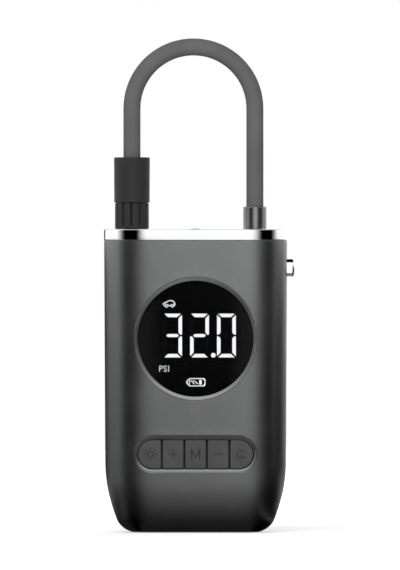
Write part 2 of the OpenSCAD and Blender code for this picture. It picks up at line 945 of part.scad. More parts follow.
module motor_can() {
  back_x = motor_x - motor_l + endcap_t;
  color([0.7, 0.7, 0.72])
  difference() {
    union() {
      rod_along_x(motor_r, back_x, motor_x, pump_y, motor_z);
      rod_along_x(motor_nose_r, motor_x - 0.1, motor_x + 2, pump_y, motor_z);
    }
    rod_along_x(motor_r - motor_wall, back_x - 1, motor_x - 1.2, pump_y, motor_z);
    rod_along_x(shaft_r + running, motor_x - 5, far, pump_y, motor_z);
    for (s = [-1, 1])
      rod_along_x(small_shank + slip, motor_x - 5, far, pump_y + s * motor_screw_y, motor_z);
  }
}

module motor_endcap() {
  back_x = motor_x - motor_l;
  color([0.1, 0.1, 0.1])
  difference() {
    union() {
      rod_along_x(motor_r, back_x, back_x + endcap_t, pump_y, motor_z);
      rod_along_x(motor_r - motor_wall - slip, back_x + 1, back_x + endcap_t + 1.5, pump_y, motor_z);
      rod_along_x(motor_nose_r, back_x - 1.6, back_x + 1, pump_y, motor_z);
    }
    rod_along_x(shaft_r + running, back_x - 0.8, far, pump_y, motor_z);
    rod_along_x(motor_r - 3, back_x + 2, far, pump_y, motor_z);
  }
}

module motor_magnets() {
  outer = motor_r - motor_wall;
  color([0.25, 0.25, 0.27])
  difference() {
    rod_along_x(outer, motor_x - motor_l + magnet_back, motor_x - magnet_in, pump_y, motor_z);
    rod_along_x(outer - magnet_t, motor_x - motor_l, motor_x, pump_y, motor_z);
    block(-far / 2, far / 2, pump_y - 3, pump_y + 3, motor_z - motor_d, motor_z + motor_d);
  }
}

// Three wound poles and the commutator
module motor_armature() {
  pole_r = motor_r - motor_wall - magnet_t - free_gap - 0.1;
  front_x = motor_x - armature_in;
  back_x = motor_x - motor_l + armature_back;
  color([0.6, 0.35, 0.2])
  difference() {
    union() {
      rod_along_x(pole_r, back_x, front_x, pump_y, motor_z);
      rod_along_x(shaft_r + 2, back_x - commutator_l, back_x + 1, pump_y, motor_z);
    }
    for (a = [60, 180, 300])
      translate([0, pump_y, motor_z]) rotate([a, 0, 0])
        block(back_x - 1, front_x + 1, -winding_gap / 2, winding_gap / 2, pole_root, motor_d);
    rod_along_x(shaft_r, -far / 2, far / 2, pump_y, motor_z);
  }
}

module motor_shaft() {
  color([0.8, 0.8, 0.8])
  rod_along_x(shaft_r, motor_x - motor_l - 0.6, gear_front_x + 0.7, pump_y, motor_z);
}

module motor_screws() {
  color([0.6, 0.6, 0.6])
  for (s = [-1, 1]) {
    y = pump_y + s * motor_screw_y;
    rod_along_x(small_head, plate_x, plate_x + 0.9, y, motor_z);
    rod_along_x(small_shank, motor_x - 1, plate_x + 0.1, y, motor_z);
  }
}

// ---------- The gears and the pump ----------

module drive_pinion() {
  color([0.85, 0.8, 0.6])
  translate([gear_back_x - 0.4, pump_y, motor_z]) rotate([0, 90, 0]) rotate(180) difference() {
    linear_extrude(height = gear_w + 0.8)
      polygon(gear_points(pinion_teeth, pinion_pitch_r - 1.2 * gear_module,
        pinion_pitch_r + 0.9 * gear_module));
    translate([0, 0, -1]) cylinder(r = shaft_r, h = far);
  }
}

module crank_gear() {
  pin_z = crank_z + crank_r;
  color([0.9, 0.9, 0.85])
  difference() {
    union() {
      translate([gear_back_x, pump_y, crank_z]) rotate([0, 90, 0])
        rotate(180 / gear_teeth) linear_extrude(height = gear_w)
          polygon(gear_points(gear_teeth, gear_pitch_r - 1.2 * gear_module,
            gear_pitch_r + 0.9 * gear_module));
      rod_along_x(pin_r, gear_front_x - 0.1, pump_x - rod_t / 2 - free_gap, pump_y, pin_z);
    }
    rod_along_x(axle_r, gear_back_x - 1, gear_front_x - 0.8, pump_y, crank_z);
    for (a = [60, 120, 180, 240, 300])
      translate([0, pump_y, crank_z]) rotate([a, 0, 0])
        rod_along_x(2.3, gear_back_x - 1, gear_front_x + 1, 0, 0.66 * gear_pitch_r);
  }
}

module gear_axle() {
  bush_back = plate_x - bush_l;
  color([0.8, 0.8, 0.8]) {
    rod_along_x(axle_r, bush_back - 1.4, gear_front_x - 0.8, pump_y, crank_z);
    rod_along_x(axle_r + 1.1, bush_back - 0.9, bush_back - free_gap, pump_y, crank_z);
  }
}

module axle_bush() {
  color([0.7, 0.5, 0.25])
  difference() {
    rod_along_x(axle_bush_r, plate_x - bush_l, gear_back_x - free_gap, pump_y, crank_z);
    rod_along_x(axle_r + running, -far / 2, far / 2, pump_y, crank_z);
  }
}

module pump_frame() {
  color([0.55, 0.56, 0.58])
  difference() {
    union() {
      block(motor_x, plate_x, pump_y - head_w / 2, ear_y + ear_t, motor_z - motor_r, deck_top);
      block(motor_x, pump_x + head_w / 2 - 1, pump_y - head_w / 2, pump_y + head_w / 2,
        deck_z, deck_top);
      rod_along_x(axle_bush_r + 1.5, plate_x - bush_l + 1, motor_x + 0.1, pump_y, crank_z);
      block(frame_ears[0][0] - 4, motor_x + 1, ear_y, ear_y + ear_t, frame_ears[0][1] - 4, deck_top);
      block(frame_ears[1][0] - 3.8, frame_ears[1][0] + 3.8, ear_y, ear_y + ear_t,
        frame_ears[1][1] - 3.8, deck_top);
      block(motor_x + 1, frame_ears[2][0] + 3.8, ear_y, ear_y + ear_t,
        frame_ears[2][1] - 3.3, frame_ears[2][1] + 3.3);
    }
    for (e = frame_ears)
      rod_along_y(small_shank + slip, ear_y - 5, far, e[0], e[1]);
    rod_along_x(motor_nose_r + slip, motor_x - 1, plate_x + 1, pump_y, motor_z);
    rod_along_x(axle_bush_r, -far / 2, far / 2, pump_y, crank_z);
    for (s = [-1, 1])
      rod_along_x(small_shank + slip, motor_x - 1, plate_x + 1, pump_y + s * motor_screw_y, motor_z);
    rod_along_z(spigot_r + slip, deck_z - 1, deck_top + 1, pump_x, pump_y);
    head_screw_rods(small_shank + running, deck_z - 1, deck_top + 1);
  }
}

// Screws that hold the pump frame and the battery tray to the rear shell
module frame_screws() {
  color([0.6, 0.6, 0.6]) {
    for (e = frame_ears)
      translate([e[0], 0, e[1]]) {
        rod_along_y(small_head, ear_y - small_head_h, ear_y, 0, 0);
        rod_along_y(small_shank, ear_y - 0.1, rear_in - 1, 0, 0);
      }
    for (s = [-1, 1])
      translate([s * tray_screw_x, 0, tray_screw_z]) {
        rod_along_y(small_head, tray_back_y - small_head_h, tray_back_y, 0, 0);
        rod_along_y(small_shank, tray_back_y - 0.1, rear_in - 1, 0, 0);
      }
  }
}

// The four screws that run from the cylinder head down into the frame's deck
module head_screw_rods(r, z0, z1) {
  for (x = [-1, 1], y = [-1, 1])
    rod_along_z(r, z0, z1, pump_x + x * screw_in, pump_y + y * screw_in);
}

module pump_cylinder() {
  fin_r = head_w / 2 - 0.1;
  fin_t = (cylinder_top - deck_top) / 5;
  color([0.75, 0.76, 0.78])
  difference() {
    union() {
      rod_along_z(spigot_r, spigot_z, cylinder_top, pump_x, pump_y);
      for (i = [0, 2, 4])
        rod_along_z(fin_r, deck_top + i * fin_t, deck_top + (i + 1) * fin_t, pump_x, pump_y);
    }
    rod_along_z(bore_r, spigot_z - 1, cylinder_top + 1, pump_x, pump_y);
    head_screw_rods(small_shank + slip, deck_z, cylinder_top + 1);
  }
}

module cylinder_head() {
  half = head_w / 2;
  pocket_depth = 1.6;
  color([0.6, 0.61, 0.63])
  difference() {
    union() {
      block(pump_x - half, pump_x + half, pump_y - half, pump_y + half, head_low, head_top);
      rod_along_y(sensor_r, pump_y - half - 0.9, pump_y - half + 0.1, sensor_x, sensor_z);
    }
    rod_along_z(bore_r - 1, head_low - 1, head_low + 2, pump_x, pump_y);
    rod_along_z(3.3, head_top - pocket_depth, head_top + 1, outlet_x, 0);
    rod_along_z(1.2, sensor_z, head_top, outlet_x, 0);
    translate([pump_x, pump_y, sensor_z])
      rotate([0, 90, atan2(-pump_y, outlet_x - pump_x)])
        cylinder(r = 1, h = norm([pump_y, outlet_x - pump_x]));
    rod_along_y(0.6, pump_y - half - 2, pump_y, sensor_x, sensor_z);
    block(sensor_x - 0.6, pump_x, pump_y - 0.6, pump_y + 0.6, sensor_z - 0.6, sensor_z + 0.6);
    head_screw_rods(small_shank + slip, head_low - 1, head_top + 1);
  }
}

module head_gasket() {
  half = head_w / 2 - 0.2;
  color([0.6, 0.2, 0.15])
  difference() {
    block(pump_x - half, pump_x + half, pump_y - half, pump_y + half, cylinder_top, head_low);
    rod_along_z(bore_r - 1, cylinder_top - 1, head_low + 1, pump_x, pump_y);
    head_screw_rods(small_shank + slip, cylinder_top - 1, head_low + 1);
  }
}

module head_screws() {
  color([0.6, 0.6, 0.6]) {
    head_screw_rods(small_head, head_top, head_top + small_head_h);
    head_screw_rods(small_shank, deck_z, head_top + 0.1);
  }
}

module piston() {
  ring_z = crown_z - 2;
  slot = rod_t / 2 + 0.2;
  color([0.8, 0.8, 0.82])
  difference() {
    rod_along_z(bore_r - running, piston_z, crown_z, pump_x, pump_y);
    block(pump_x - slot, pump_x + slot, pump_y - 4, pump_y + 4, piston_z - 1, wrist_z + 3.2);
    rod_along_x(wrist_r + running, pump_x - bore_r, pump_x + bore_r, pump_y, wrist_z);
    difference() {
      rod_along_z(bore_r + 1, ring_z, ring_z + 1.2, pump_x, pump_y);
      rod_along_z(bore_r - 0.8, ring_z - 1, ring_z + 2, pump_x, pump_y);
    }
  }
}

module piston_seal() {
  ring_z = crown_z - 2;
  color([0.1, 0.1, 0.1])
  difference() {
    rod_along_z(bore_r - running / 2, ring_z, ring_z + 1.2, pump_x, pump_y);
    rod_along_z(bore_r - 0.8, ring_z - 1, ring_z + 2, pump_x, pump_y);
  }
}

module wrist_pin() {
  color([0.75, 0.75, 0.77])
  rod_along_x(wrist_r, pump_x - bore_r + 2, pump_x + bore_r - 2, pump_y, wrist_z);
}

module connecting_rod() {
  pin_z = wrist_z - rod_l;
  x0 = pump_x - rod_t / 2;
  x1 = pump_x + rod_t / 2;
  color([0.7, 0.7, 0.72])
  difference() {
    union() {
      rod_along_x(wrist_r + 1.4, x0, x1, pump_y, wrist_z);
      rod_along_x(pin_r + 2, x0, x1, pump_y, pin_z);
      block(x0, x1, pump_y - 1.6, pump_y + 1.6, pin_z + 2.5, wrist_z - 2);
    }
    rod_along_x(wrist_r + running, x0 - 1, x1 + 1, pump_y, wrist_z);
    rod_along_x(pin_r + free_gap, x0 - 1, x1 + 1, pump_y, pin_z);
  }
}

module pressure_sensor() {
  tube_front = pump_y - head_w / 2;
  color([0.15, 0.15, 0.15]) {
    block(sensor_x - 3.5, sensor_x + 3.5, board_back, sensor_y - 1, sensor_z - 3.5, sensor_z + 3.5);
    rod_along_y(sensor_r, sensor_y - 1.1, tube_front - 1.1, sensor_x, sensor_z);
  }
}

module sensor_tube() {
  tube_back = pump_y - head_w / 2;
  color([0.8, 0.8, 0.75])
  difference() {
    rod_along_y(sensor_r + 0.9, sensor_y - 1, tube_back, sensor_x, sensor_z);
    rod_along_y(sensor_r + slip / 2, -far / 2, far / 2, sensor_x, sensor_z);
  }
}

// ---------- The outlet, the parking post and the hose ----------

module outlet_socket() {
  bore = nipple_r + running;
  seat_z = head_top - 0.6;
  color([0.75, 0.65, 0.35])
  difference() {
    union() {
      rod_along_z(3.2, seat_z, shell_h - 2.7, outlet_x, 0);
      rod_along_z(5.5, shell_h - 2.8, shell_h, outlet_x, 0);
      rod_along_z(bore + socket_wall, shell_h - 0.1, body_h - 0.2, outlet_x, 0);
    }
    rod_along_z(1.2, seat_z - 1, shell_h, outlet_x, 0);
    rod_along_z(bore, shell_h - 2, body_h + 1, outlet_x, 0);
  }
}

module outlet_seal() {
  color([0.1, 0.1, 0.1])
  translate([outlet_x, 0, head_top - 1.1]) rotate_extrude() translate([2.5, 0]) circle(r = 0.5);
}

module parking_post() {
  color([0.75, 0.76, 0.78])
  difference() {
    union() {
      rod_along_z(post_d / 2, body_h, post_top, park_x, 0);
      rod_along_z(post_d / 4, shell_h + 0.3, body_h + 0.1, park_x, 0);
    }
    rod_along_z(post_d / 4, body_h + 2, post_top + 1, park_x, 0);
  }
}

module hose() {
  color([0.38, 0.38, 0.38])
  difference() {
    hose_tube(hose_r, 0);
    hose_tube(hose_bore_r, 1);
  }
}

module hose_tube(r, past) {
  rod_along_z(r, hose_left_z - past, arch_z, park_x, 0);
  rod_along_z(r, hose_right_z - past, arch_z, outlet_x, 0);
  translate([arch_x, 0, arch_z]) rotate([90, 0, 0]) rotate_extrude(angle = 180)
    translate([arch_r, 0]) circle(r = r);
}

module hose_ferrule() {
  color([0.5, 0.5, 0.52])
  difference() {
    translate([outlet_x, 0, ferrule_z]) rotate_extrude()
      polygon([
        [0, 0],
        [ferrule_d / 2 - 0.3, 0],
        [ferrule_d / 2, 0.3],
        [ferrule_d / 2, ferrule_h - stand_gap - 0.5],
        [ferrule_d / 2 - 0.5, ferrule_h - stand_gap],
        [0, ferrule_h - stand_gap]
      ]);
    rod_along_z(nipple_r + running, ferrule_z - 1, far, outlet_x, 0);
    rod_along_z(hose_r + running, hose_right_z, far, outlet_x, 0);
  }
}

module hose_nipple() {
  color([0.75, 0.65, 0.35])
  difference() {
    union() {
      rod_along_z(nipple_r, shell_h - 1.8, hose_right_z, outlet_x, 0);
      rod_along_z(barb_r, hose_right_z - 0.1, hose_right_z + 7, outlet_x, 0);
    }
    rod_along_z(0.9, 0, far, outlet_x, 0);
  }
}

module chuck_collar() {
  top_r = collar_d / 2;
  low_r = top_r - 0.1;
  rim = 1.4;
  color([0.22, 0.22, 0.23])
  difference() {
    translate([park_x, 0, collar_z]) rotate_extrude()
      polygon(concat(
        [[0, 0], [low_r - 0.3, 0], [low_r, 0.3], [top_r, collar_h - rim]],
        [for (a = [15:15:75]) [top_r - rim + rim * cos(a), collar_h - rim + rim * sin(a)]],
        [[top_r - rim, collar_h], [0, collar_h]]
      ));
    rod_along_z(neck_r + running, collar_z - 1, far, park_x, 0);
    rod_along_z(hose_r + running, hose_left_z, far, park_x, 0);
  }
}

module chuck_nut() {
  nut_r = nut_d / 2;
  flute_r = 0.6;
  color([0.22, 0.22, 0.23])
  difference() {
    rod_along_z(nut_r, nut_z, nut_z + nut_h, park_x, 0);
    rod_along_z(thread_d / 2, nut_z - 1, chamber_z + 0.1, park_x, 0);
    rod_along_z(flange_r + free_gap, chamber_z, flange_z + flange_t + free_gap, park_x, 0);
    rod_along_z(neck_r + free_gap, chamber_z, far, park_x, 0);
    for (i = [0:nut_flutes - 1])
      translate([park_x, 0, 0]) rotate(360 * (i + 0.5) / nut_flutes)
        rod_along_z(flute_r, nut_z + 1, far, nut_r + 0.15, 0);
  }
}

// Stem that carries the hose, presses on the gasket and pushes the valve's pin
module chuck_barb() {
  color([0.75, 0.65, 0.35])
  difference() {
    union() {
      rod_along_z(flange_r, flange_z, flange_z + flange_t, park_x, 0);
      rod_along_z(neck_r, flange_z + 0.1, hose_left_z, park_x, 0);
      rod_along_z(barb_r, hose_left_z - 0.1, hose_left_z + 8, park_x, 0);
      rod_along_z(0.8, flange_z - 3.5, flange_z + 0.1, park_x, 0);
    }
    rod_along_z(0.9, flange_z + 1, far, park_x, 0);
  }
}

module chuck_gasket() {
  color([0.1, 0.1, 0.1])
  difference() {
    rod_along_z(flange_r - 0.2, flange_z - gasket_t, flange_z, park_x, 0);
    rod_along_z(1.4, flange_z - gasket_t - 1, far, park_x, 0);
  }
}

front_shell();
rear_shell();
top_cap();
case_screws();
display_bezel();
display_window();
display_digits();
display_module();
keypad_frame();
key_light();
key_plus();
key_mode();
key_minus();
key_unit();
key_switches();
main_board();
board_parts();
board_screws();
charge_board();
usb_socket();
power_button();
button_bush();
power_switch();
led_lens();
led_board();
battery_cells();
battery_tabs();
battery_tray();
motor_can();
motor_endcap();
motor_magnets();
motor_armature();
motor_shaft();
motor_screws();
drive_pinion();
crank_gear();
gear_axle();
axle_bush();
pump_frame();
frame_screws();
pump_cylinder();
cylinder_head();
head_gasket();
head_screws();
piston();
piston_seal();
wrist_pin();
connecting_rod();
pressure_sensor();
sensor_tube();
outlet_socket();
outlet_seal();
parking_post();
hose();
hose_ferrule();
hose_nipple();
chuck_collar();
chuck_nut();
chuck_barb();
chuck_gasket();
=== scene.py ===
# %% [markdown]
# # A pocket tire inflator, dressed for the studio
# The construction is already solved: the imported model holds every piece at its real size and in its
# place. This lesson adds what a camera sees. It loads that model as a fixed frame, models the shells,
# the display, the keys and the hose with the softness that real parts have, and gives every surface
# its finish. Blender counts in metres, and small products are easier to read in millimetres, so the
# shapes below are drawn in millimetres and scaled by `MM` when they become objects.

# %% Load the frame
import json
import math

import bmesh
import bpy
from mathutils import Matrix, Vector


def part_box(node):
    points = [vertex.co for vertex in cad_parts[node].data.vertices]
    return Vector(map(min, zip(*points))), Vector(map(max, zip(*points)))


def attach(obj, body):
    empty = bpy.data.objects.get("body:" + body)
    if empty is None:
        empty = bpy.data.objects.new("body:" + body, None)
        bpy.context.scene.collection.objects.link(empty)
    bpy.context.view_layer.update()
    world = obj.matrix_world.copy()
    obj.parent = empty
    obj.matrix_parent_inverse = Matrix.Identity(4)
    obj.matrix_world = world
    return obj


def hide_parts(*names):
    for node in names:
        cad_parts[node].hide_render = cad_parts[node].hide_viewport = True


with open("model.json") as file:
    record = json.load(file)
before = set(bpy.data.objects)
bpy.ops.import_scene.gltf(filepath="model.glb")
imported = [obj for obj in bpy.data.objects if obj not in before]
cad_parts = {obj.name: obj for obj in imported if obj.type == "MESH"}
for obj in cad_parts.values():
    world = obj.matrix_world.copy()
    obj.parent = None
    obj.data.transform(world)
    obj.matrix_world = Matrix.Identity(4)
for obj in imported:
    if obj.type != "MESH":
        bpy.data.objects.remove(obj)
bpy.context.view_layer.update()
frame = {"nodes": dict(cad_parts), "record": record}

MM = 0.001
scene = bpy.context.scene


def node_box(name):
    """Lowest and highest corner of a node, in millimetres."""
    low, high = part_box(name)
    return low / MM, high / MM


# %% [markdown]
# ## The camera
# A product shot keeps upright lines parallel, and a long lens from far away does that. The camera
# stands six metres off and looks level along +Y. The lens follows from the distance and from how
# much height the picture takes in, so no shift is needed.

# %% Camera
CAMERA_DISTANCE = 6.0
CAMERA_X, CAMERA_Z = 1.8 * MM, 101.3 * MM
PICTURE_HEIGHT = 233.7 * MM
SENSOR = 36.0

camera_data = bpy.data.cameras.new("camera")
camera_data.sensor_width = SENSOR
camera_data.lens = SENSOR * CAMERA_DISTANCE / PICTURE_HEIGHT
camera_data.clip_end = 20
camera = bpy.data.objects.new("camera", camera_data)
camera.location = (CAMERA_X, -CAMERA_DISTANCE, CAMERA_Z)
camera.rotation_euler = (math.radians(90), 0, 0)
scene.collection.objects.link(camera)
scene.camera = camera
print("lens:", round(camera_data.lens), "mm")

# %% [markdown]
# ## The hose's route
# The hose is a stiff tube of known length, held at both ends: plugged into the outlet on the right
# and parked with its chuck on the left. A curve is the natural way to make it, because its own line
# is the hose's middle. Five Bezier points give two straight runs and what looks like an exact half
# circle when the handles of the arc are 0.5523 of its radius long.

# %% Hose
HOSE_R = 3.5
SUNK = 7.0  # how deep the left end sits in the collar
ARC_HANDLE = 0.5523

hose_low, hose_high = node_box("hose")
arch_x = (hose_low.x + hose_high.x) / 2
arch_r = (hose_high.x - hose_low.x) / 2 - HOSE_R
arch_z = hose_high.z - HOSE_R - arch_r
outlet_x, park_x = arch_x + arch_r, arch_x - arch_r
hose_left_z = node_box("chuck_collar")[0].z + SUNK

hose_curve = bpy.data.curves.new("hose_tube", "CURVE")
hose_curve.dimensions = "3D"
hose_curve.resolution_u = 20
hose_curve.bevel_depth = HOSE_R * MM
hose_curve.bevel_resolution = 8
hose_curve.use_fill_caps = True
spline = hose_curve.splines.new("BEZIER")
spline.bezier_points.add(4)  # it starts with one
handle = ARC_HANDLE * arch_r
straight = 12.0  # length of a handle on the straight runs
# Each stop is a point, and the handles before and after it.
stops = [
    ((outlet_x, hose_low.z), (0, -straight), (0, straight)),
    ((outlet_x, arch_z), (0, -straight), (0, handle)),
    ((arch_x, arch_z + arch_r), (handle, 0), (-handle, 0)),
    ((park_x, arch_z), (0, handle), (0, -straight)),
    ((park_x, hose_left_z), (0, straight * 0.8), (0, -straight * 0.8)),
]
for point, ((x, z), before, after) in zip(spline.bezier_points, stops):
    for key, (dx, dz) in (("co", (0, 0)), ("handle_left", before), ("handle_right", after)):
        setattr(point, key, ((x + dx) * MM, 0, (z + dz) * MM))
hose = bpy.data.objects.new("hose_tube", hose_curve)
scene.collection.objects.link(hose)

# %% [markdown]
# ## Effects that several finishes share
# Real surfaces are never one flat colour. Four effects come back again and again here, so each is
# a node group that is built once and placed in a material with its own values: a slow drift of
# tone, a fine grain for the bump, streaks that a polishing belt leaves, and the bright line that
# handling rubs along an edge. The groups only put out values, and the shader stays in the material.

# %% Node helpers
def plug(tree, socket, value):
    """Links an input to an output socket, or gives it a plain value."""
    if isinstance(value, bpy.types.NodeSocket):
        tree.links.new(value, socket)
    else:
        socket.default_value = value


def feed(tree, made, **inputs):
    """Plugs in several inputs. Underscores stand for the spaces in their names."""
    for label, value in inputs.items():
        plug(tree, made.inputs[label.replace("_", " ")], value)
    return made


def node(tree, kind, settings=None, **inputs):
    """Adds a node with its settings and inputs."""
    made = tree.nodes.new("ShaderNode" + kind)
    for key, value in (settings or {}).items():
        setattr(made, key, value)
    return feed(tree, made, **inputs)


def calculate(tree, operation, *values, kind="Math", output="Value"):
    """What a math node makes of values or sockets."""
    made = node(tree, kind, {"operation": operation})
    for socket, value in zip(made.inputs, values):
        plug(tree, socket, value)
    return made.outputs[output]


def mapped(tree, value, span, target=(0.0, 1.0), interpolation="LINEAR"):
    """A value's clamped map from one span to another."""
    return node(
        tree, "MapRange", {"interpolation_type": interpolation}, Value=value, From_Min=span[0],
        From_Max=span[1], To_Min=target[0], To_Max=target[1],
    ).outputs["Result"]


def place(tree, output="Object"):
    """Where on the object a point lies."""
    return node(tree, "TexCoord").outputs[output]


def noise(tree, scale, detail, at=None):
    """Noise in the object's own space, or at given points."""
    at = at or place(tree)
    return node(tree, "TexNoise", Vector=at, Scale=scale, Detail=detail).outputs["Fac"]


def new_material(name):
    """A material and its node tree."""
    material = bpy.data.materials.new(name)
    material.use_nodes = True
    return material, material.node_tree


def new_group(name, inputs, output, build):
    """A node group of float sockets. build makes its output from its inputs."""
    group = bpy.data.node_groups.new(name, "ShaderNodeTree")
    for label, value in inputs.items():
        socket = group.interface.new_socket(label, in_out="INPUT", socket_type="NodeSocketFloat")
        socket.default_value = value
    group.interface.new_socket(output, in_out="OUTPUT", socket_type="NodeSocketFloat")
    given = group.nodes.new("NodeGroupInput").outputs
    plug(group, group.nodes.new("NodeGroupOutput").inputs[output], build(group, given))
    print("group", name, "has", len(group.nodes), "nodes")
    return group


# %% Tone drift: slow change over a surface, for colour and roughness
def build_drift(tree, given):
    """Soft clouds between the low and the high value."""
    clouds = noise(tree, given["Scale"], 4.0)
    return mapped(tree, clouds, (0.3, 0.7), (given["Low"], given["High"]))


drift_group = new_group(
    "tone_drift", {"Scale": 40.0, "Low": 0.0, "High": 1.0}, "Value", build_drift
)

# %% Fine grain: the tooth of paint, rubber and moulded plastic
COARSER = 0.23  # the coarse grain's scale beside the fine grain's


def build_grain(tree, given):
    """Fine and coarse noise, mixed."""
    coarse_scale = calculate(tree, "MULTIPLY", given["Scale"], COARSER)
    fine, coarse = noise(tree, given["Scale"], 2.0), noise(tree, coarse_scale, 3.0)
    return node(tree, "Mix", Factor=given["Coarse"], A=fine, B=coarse).outputs["Result"]


grain_group = new_group("fine_grain", {"Scale": 2500.0, "Coarse": 0.35}, "Height", build_grain)

# %% Streaks: noise that is drawn out along one direction
def build_streaks(tree, given):
    """Noise at points that are spread by a factor along each axis."""
    factors = node(tree, "CombineXYZ", **{axis: given["Along " + axis] for axis in "XYZ"})
    drawn = calculate(
        tree, "MULTIPLY", place(tree), factors.outputs["Vector"], kind="VectorMath", output="Vector"
    )
    return noise(tree, given["Scale"], 3.0, drawn)


streak_group = new_group(
    "streaks", {"Scale": 900.0, "Along X": 1.0, "Along Y": 1.0, "Along Z": 1.0}, "Height",
    build_streaks,
)

# %% Edge wear: a mask that is high on sharp outer edges
def build_wear(tree, given):
    """Sharp edges, rubbed in patches."""
    edges = mapped(tree, node(tree, "NewGeometry").outputs["Pointiness"], (0.52, 0.6))
    patches = mapped(tree, noise(tree, given["Scale"], 4.0), (0.35, 0.65))
    rubbed = calculate(tree, "MULTIPLY", edges, patches)
    return calculate(tree, "MULTIPLY", rubbed, given["Amount"])


wear_group = new_group("edge_wear", {"Amount": 0.5, "Scale": 350.0}, "Mask", build_wear)

# %% [markdown]
# ## One way to build a finish
# Every finish has the same bones: a colour that drifts between two tones, a roughness that drifts
# too, and a bump from grain or streaks. Metals and plastics differ only in their values, so one
# function builds them all. What is the same all over, such as metallic, goes straight to the shader.

# %% Finish builder
FINISHES = {}
GLOSS_DRIFT = 2.7  # roughness drifts in smaller patches than colour, by this factor


def colour_of(tone, warmth=0.0):
    """A tone is a colour, or a number for a grey, which can lean warm or cool."""
    if isinstance(tone, tuple):
        return (*tone, 1)
    return (tone * (1 + warmth), tone, tone * (1 - warmth), 1)


def blend(tree, factor, a, b):
    """A mix of two colours."""
    return node(tree, "Mix", {"data_type": "RGBA"}, Factor=factor, A=a, B=b).outputs["Result"]


def placed(tree, group, **values):
    """The output of a node group that is placed in a material with values of its own."""
    return node(tree, "Group", {"node_tree": group}, **values).outputs[0]


def grain(scale, depth, **values):
    """A bump of fine grain, so many millimetres deep."""
    return grain_group, {"Scale": scale, **values}, depth


def streaks(scale, depth, **values):
    """A bump of streaks."""
    return streak_group, {"Scale": scale, **values}, depth


def finish(name, tones, rough, drift=40, bump=None, wear=None, warmth=0.0, **sockets):
    """A material whose colour drifts between two tones and whose roughness drifts between the two
    values of rough. wear is the tone that shows on rubbed edges and how much of it."""
    FINISHES[name], tree = new_material(name)
    dark, light = (colour_of(tone, warmth) for tone in tones)
    colour = blend(tree, placed(tree, drift_group, Scale=drift), dark, light)
    if wear:
        rubbed = placed(tree, wear_group, Amount=wear[1])
        colour = blend(tree, rubbed, colour, colour_of(wear[0]))
    sockets["Base_Color"] = colour
    sockets["Roughness"] = placed(
        tree, drift_group, Scale=drift * GLOSS_DRIFT, Low=rough[0], High=rough[1]
    )
    if bump:
        group, values, depth = bump
        height = placed(tree, group, **values)
        relief = node(tree, "Bump", Strength=1.0, Distance=depth * MM, Height=height)
        sockets["Normal"] = relief.outputs["Normal"]
    feed(tree, tree.nodes["Principled BSDF"], **sockets)


# %% [markdown]
# ## The finishes
# The body wears a satin coat with metal pigment: it mirrors the studio softly, so it is metallic
# with a middling roughness. The plate and the button are chrome. The chuck is anodised, the ferrule
# is gunmetal, and the hose is plain matt rubber.

# %% Outer finishes
finish("shell_coat", (0.233, 0.251), (0.34, 0.39), 25, grain(3200, 0.004), (0.34, 0.25), -0.009,
       Metallic=1)
# The ring and the key frame wear the body's coat painted lighter: a painted highlight, so that their
# bevels read bright.
finish("bezel_coat_painted_highlight", (0.38, 0.42), (0.4, 0.46), 40, grain(3200, 0.003), (0.55, 0.3), -0.01,
       Metallic=1)
finish("chrome_plating", (0.9, 0.94), (0.04, 0.08), 30, grain(700, 0.0012), warmth=-0.005,
       Metallic=1)
finish("key_face", (0.072, 0.086), (0.44, 0.52), 90, grain(3600, 0.008), (0.14, 0.3),
       Metallic=0.25)
finish("key_print", (0.026, 0.034), (0.5, 0.6), 120)
finish("hose_rubber", (0.115, 0.135), (0.6, 0.72), 60, grain(2600, 0.02, Coarse=0.5), (0.2, 0.2),
       Specular_IOR_Level=0.2)
finish("anodised_chuck", (0.026, 0.032), (0.5, 0.58), 70, grain(3000, 0.006), (0.08, 0.3),
       Specular_IOR_Level=0.25)
finish("gunmetal", (0.26, 0.3), (0.28, 0.34), 80, streaks(700, 0.002, Along_Z=14), (0.5, 0.4),
       Metallic=1)
print("outer finishes:", sorted(FINISHES))

# %% [markdown]
# The display sits behind a smoked window. The window is see-through, so that the lit segments really
# lie behind it, and it keeps a weak mirror on its face. The segments glow.

# %% Display finishes
finish("window_smoke", (0.002, 0.004), (0.03, 0.06), 30, grain(300, 0.0006), Alpha=0.3,
       Specular_IOR_Level=0.04)
finish("lit_segments", ((0.8, 0.83, 0.86), (0.86, 0.88, 0.9)), (0.4, 0.5), 300,
       Emission_Color=(0.93, 0.97, 1.0, 1.0), Emission_Strength=1.6)
finish("unlit_segments", (0.007, 0.009), (0.5, 0.6), 300, Specular_IOR_Level=0.05)
finish("display_black", (0.0012, 0.002), (0.5, 0.6), 50, grain(900, 0.004),
       Specular_IOR_Level=0.02)
finish("lens_frost", (0.62, 0.7), (0.3, 0.4), 200, grain(2600, 0.006), warmth=0.01,
       Specular_IOR_Level=0.4)

# The carrier is painted a little lighter towards its left and right rims: a painted sheen that stands
# in for the window's reflection there.
SHEEN_SPAN, SHEEN_TONE = (13 * MM, 24 * MM), 0.04
tree = FINISHES["display_black"].node_tree
across = node(tree, "SeparateXYZ", Vector=place(tree)).outputs["X"]
rim = mapped(tree, calculate(tree, "ABSOLUTE", across), SHEEN_SPAN)
base = tree.nodes["Principled BSDF"].inputs["Base Color"]
plug(tree, base, blend(tree, rim, base.links[0].from_socket, colour_of(SHEEN_TONE)))
print("display finishes done")

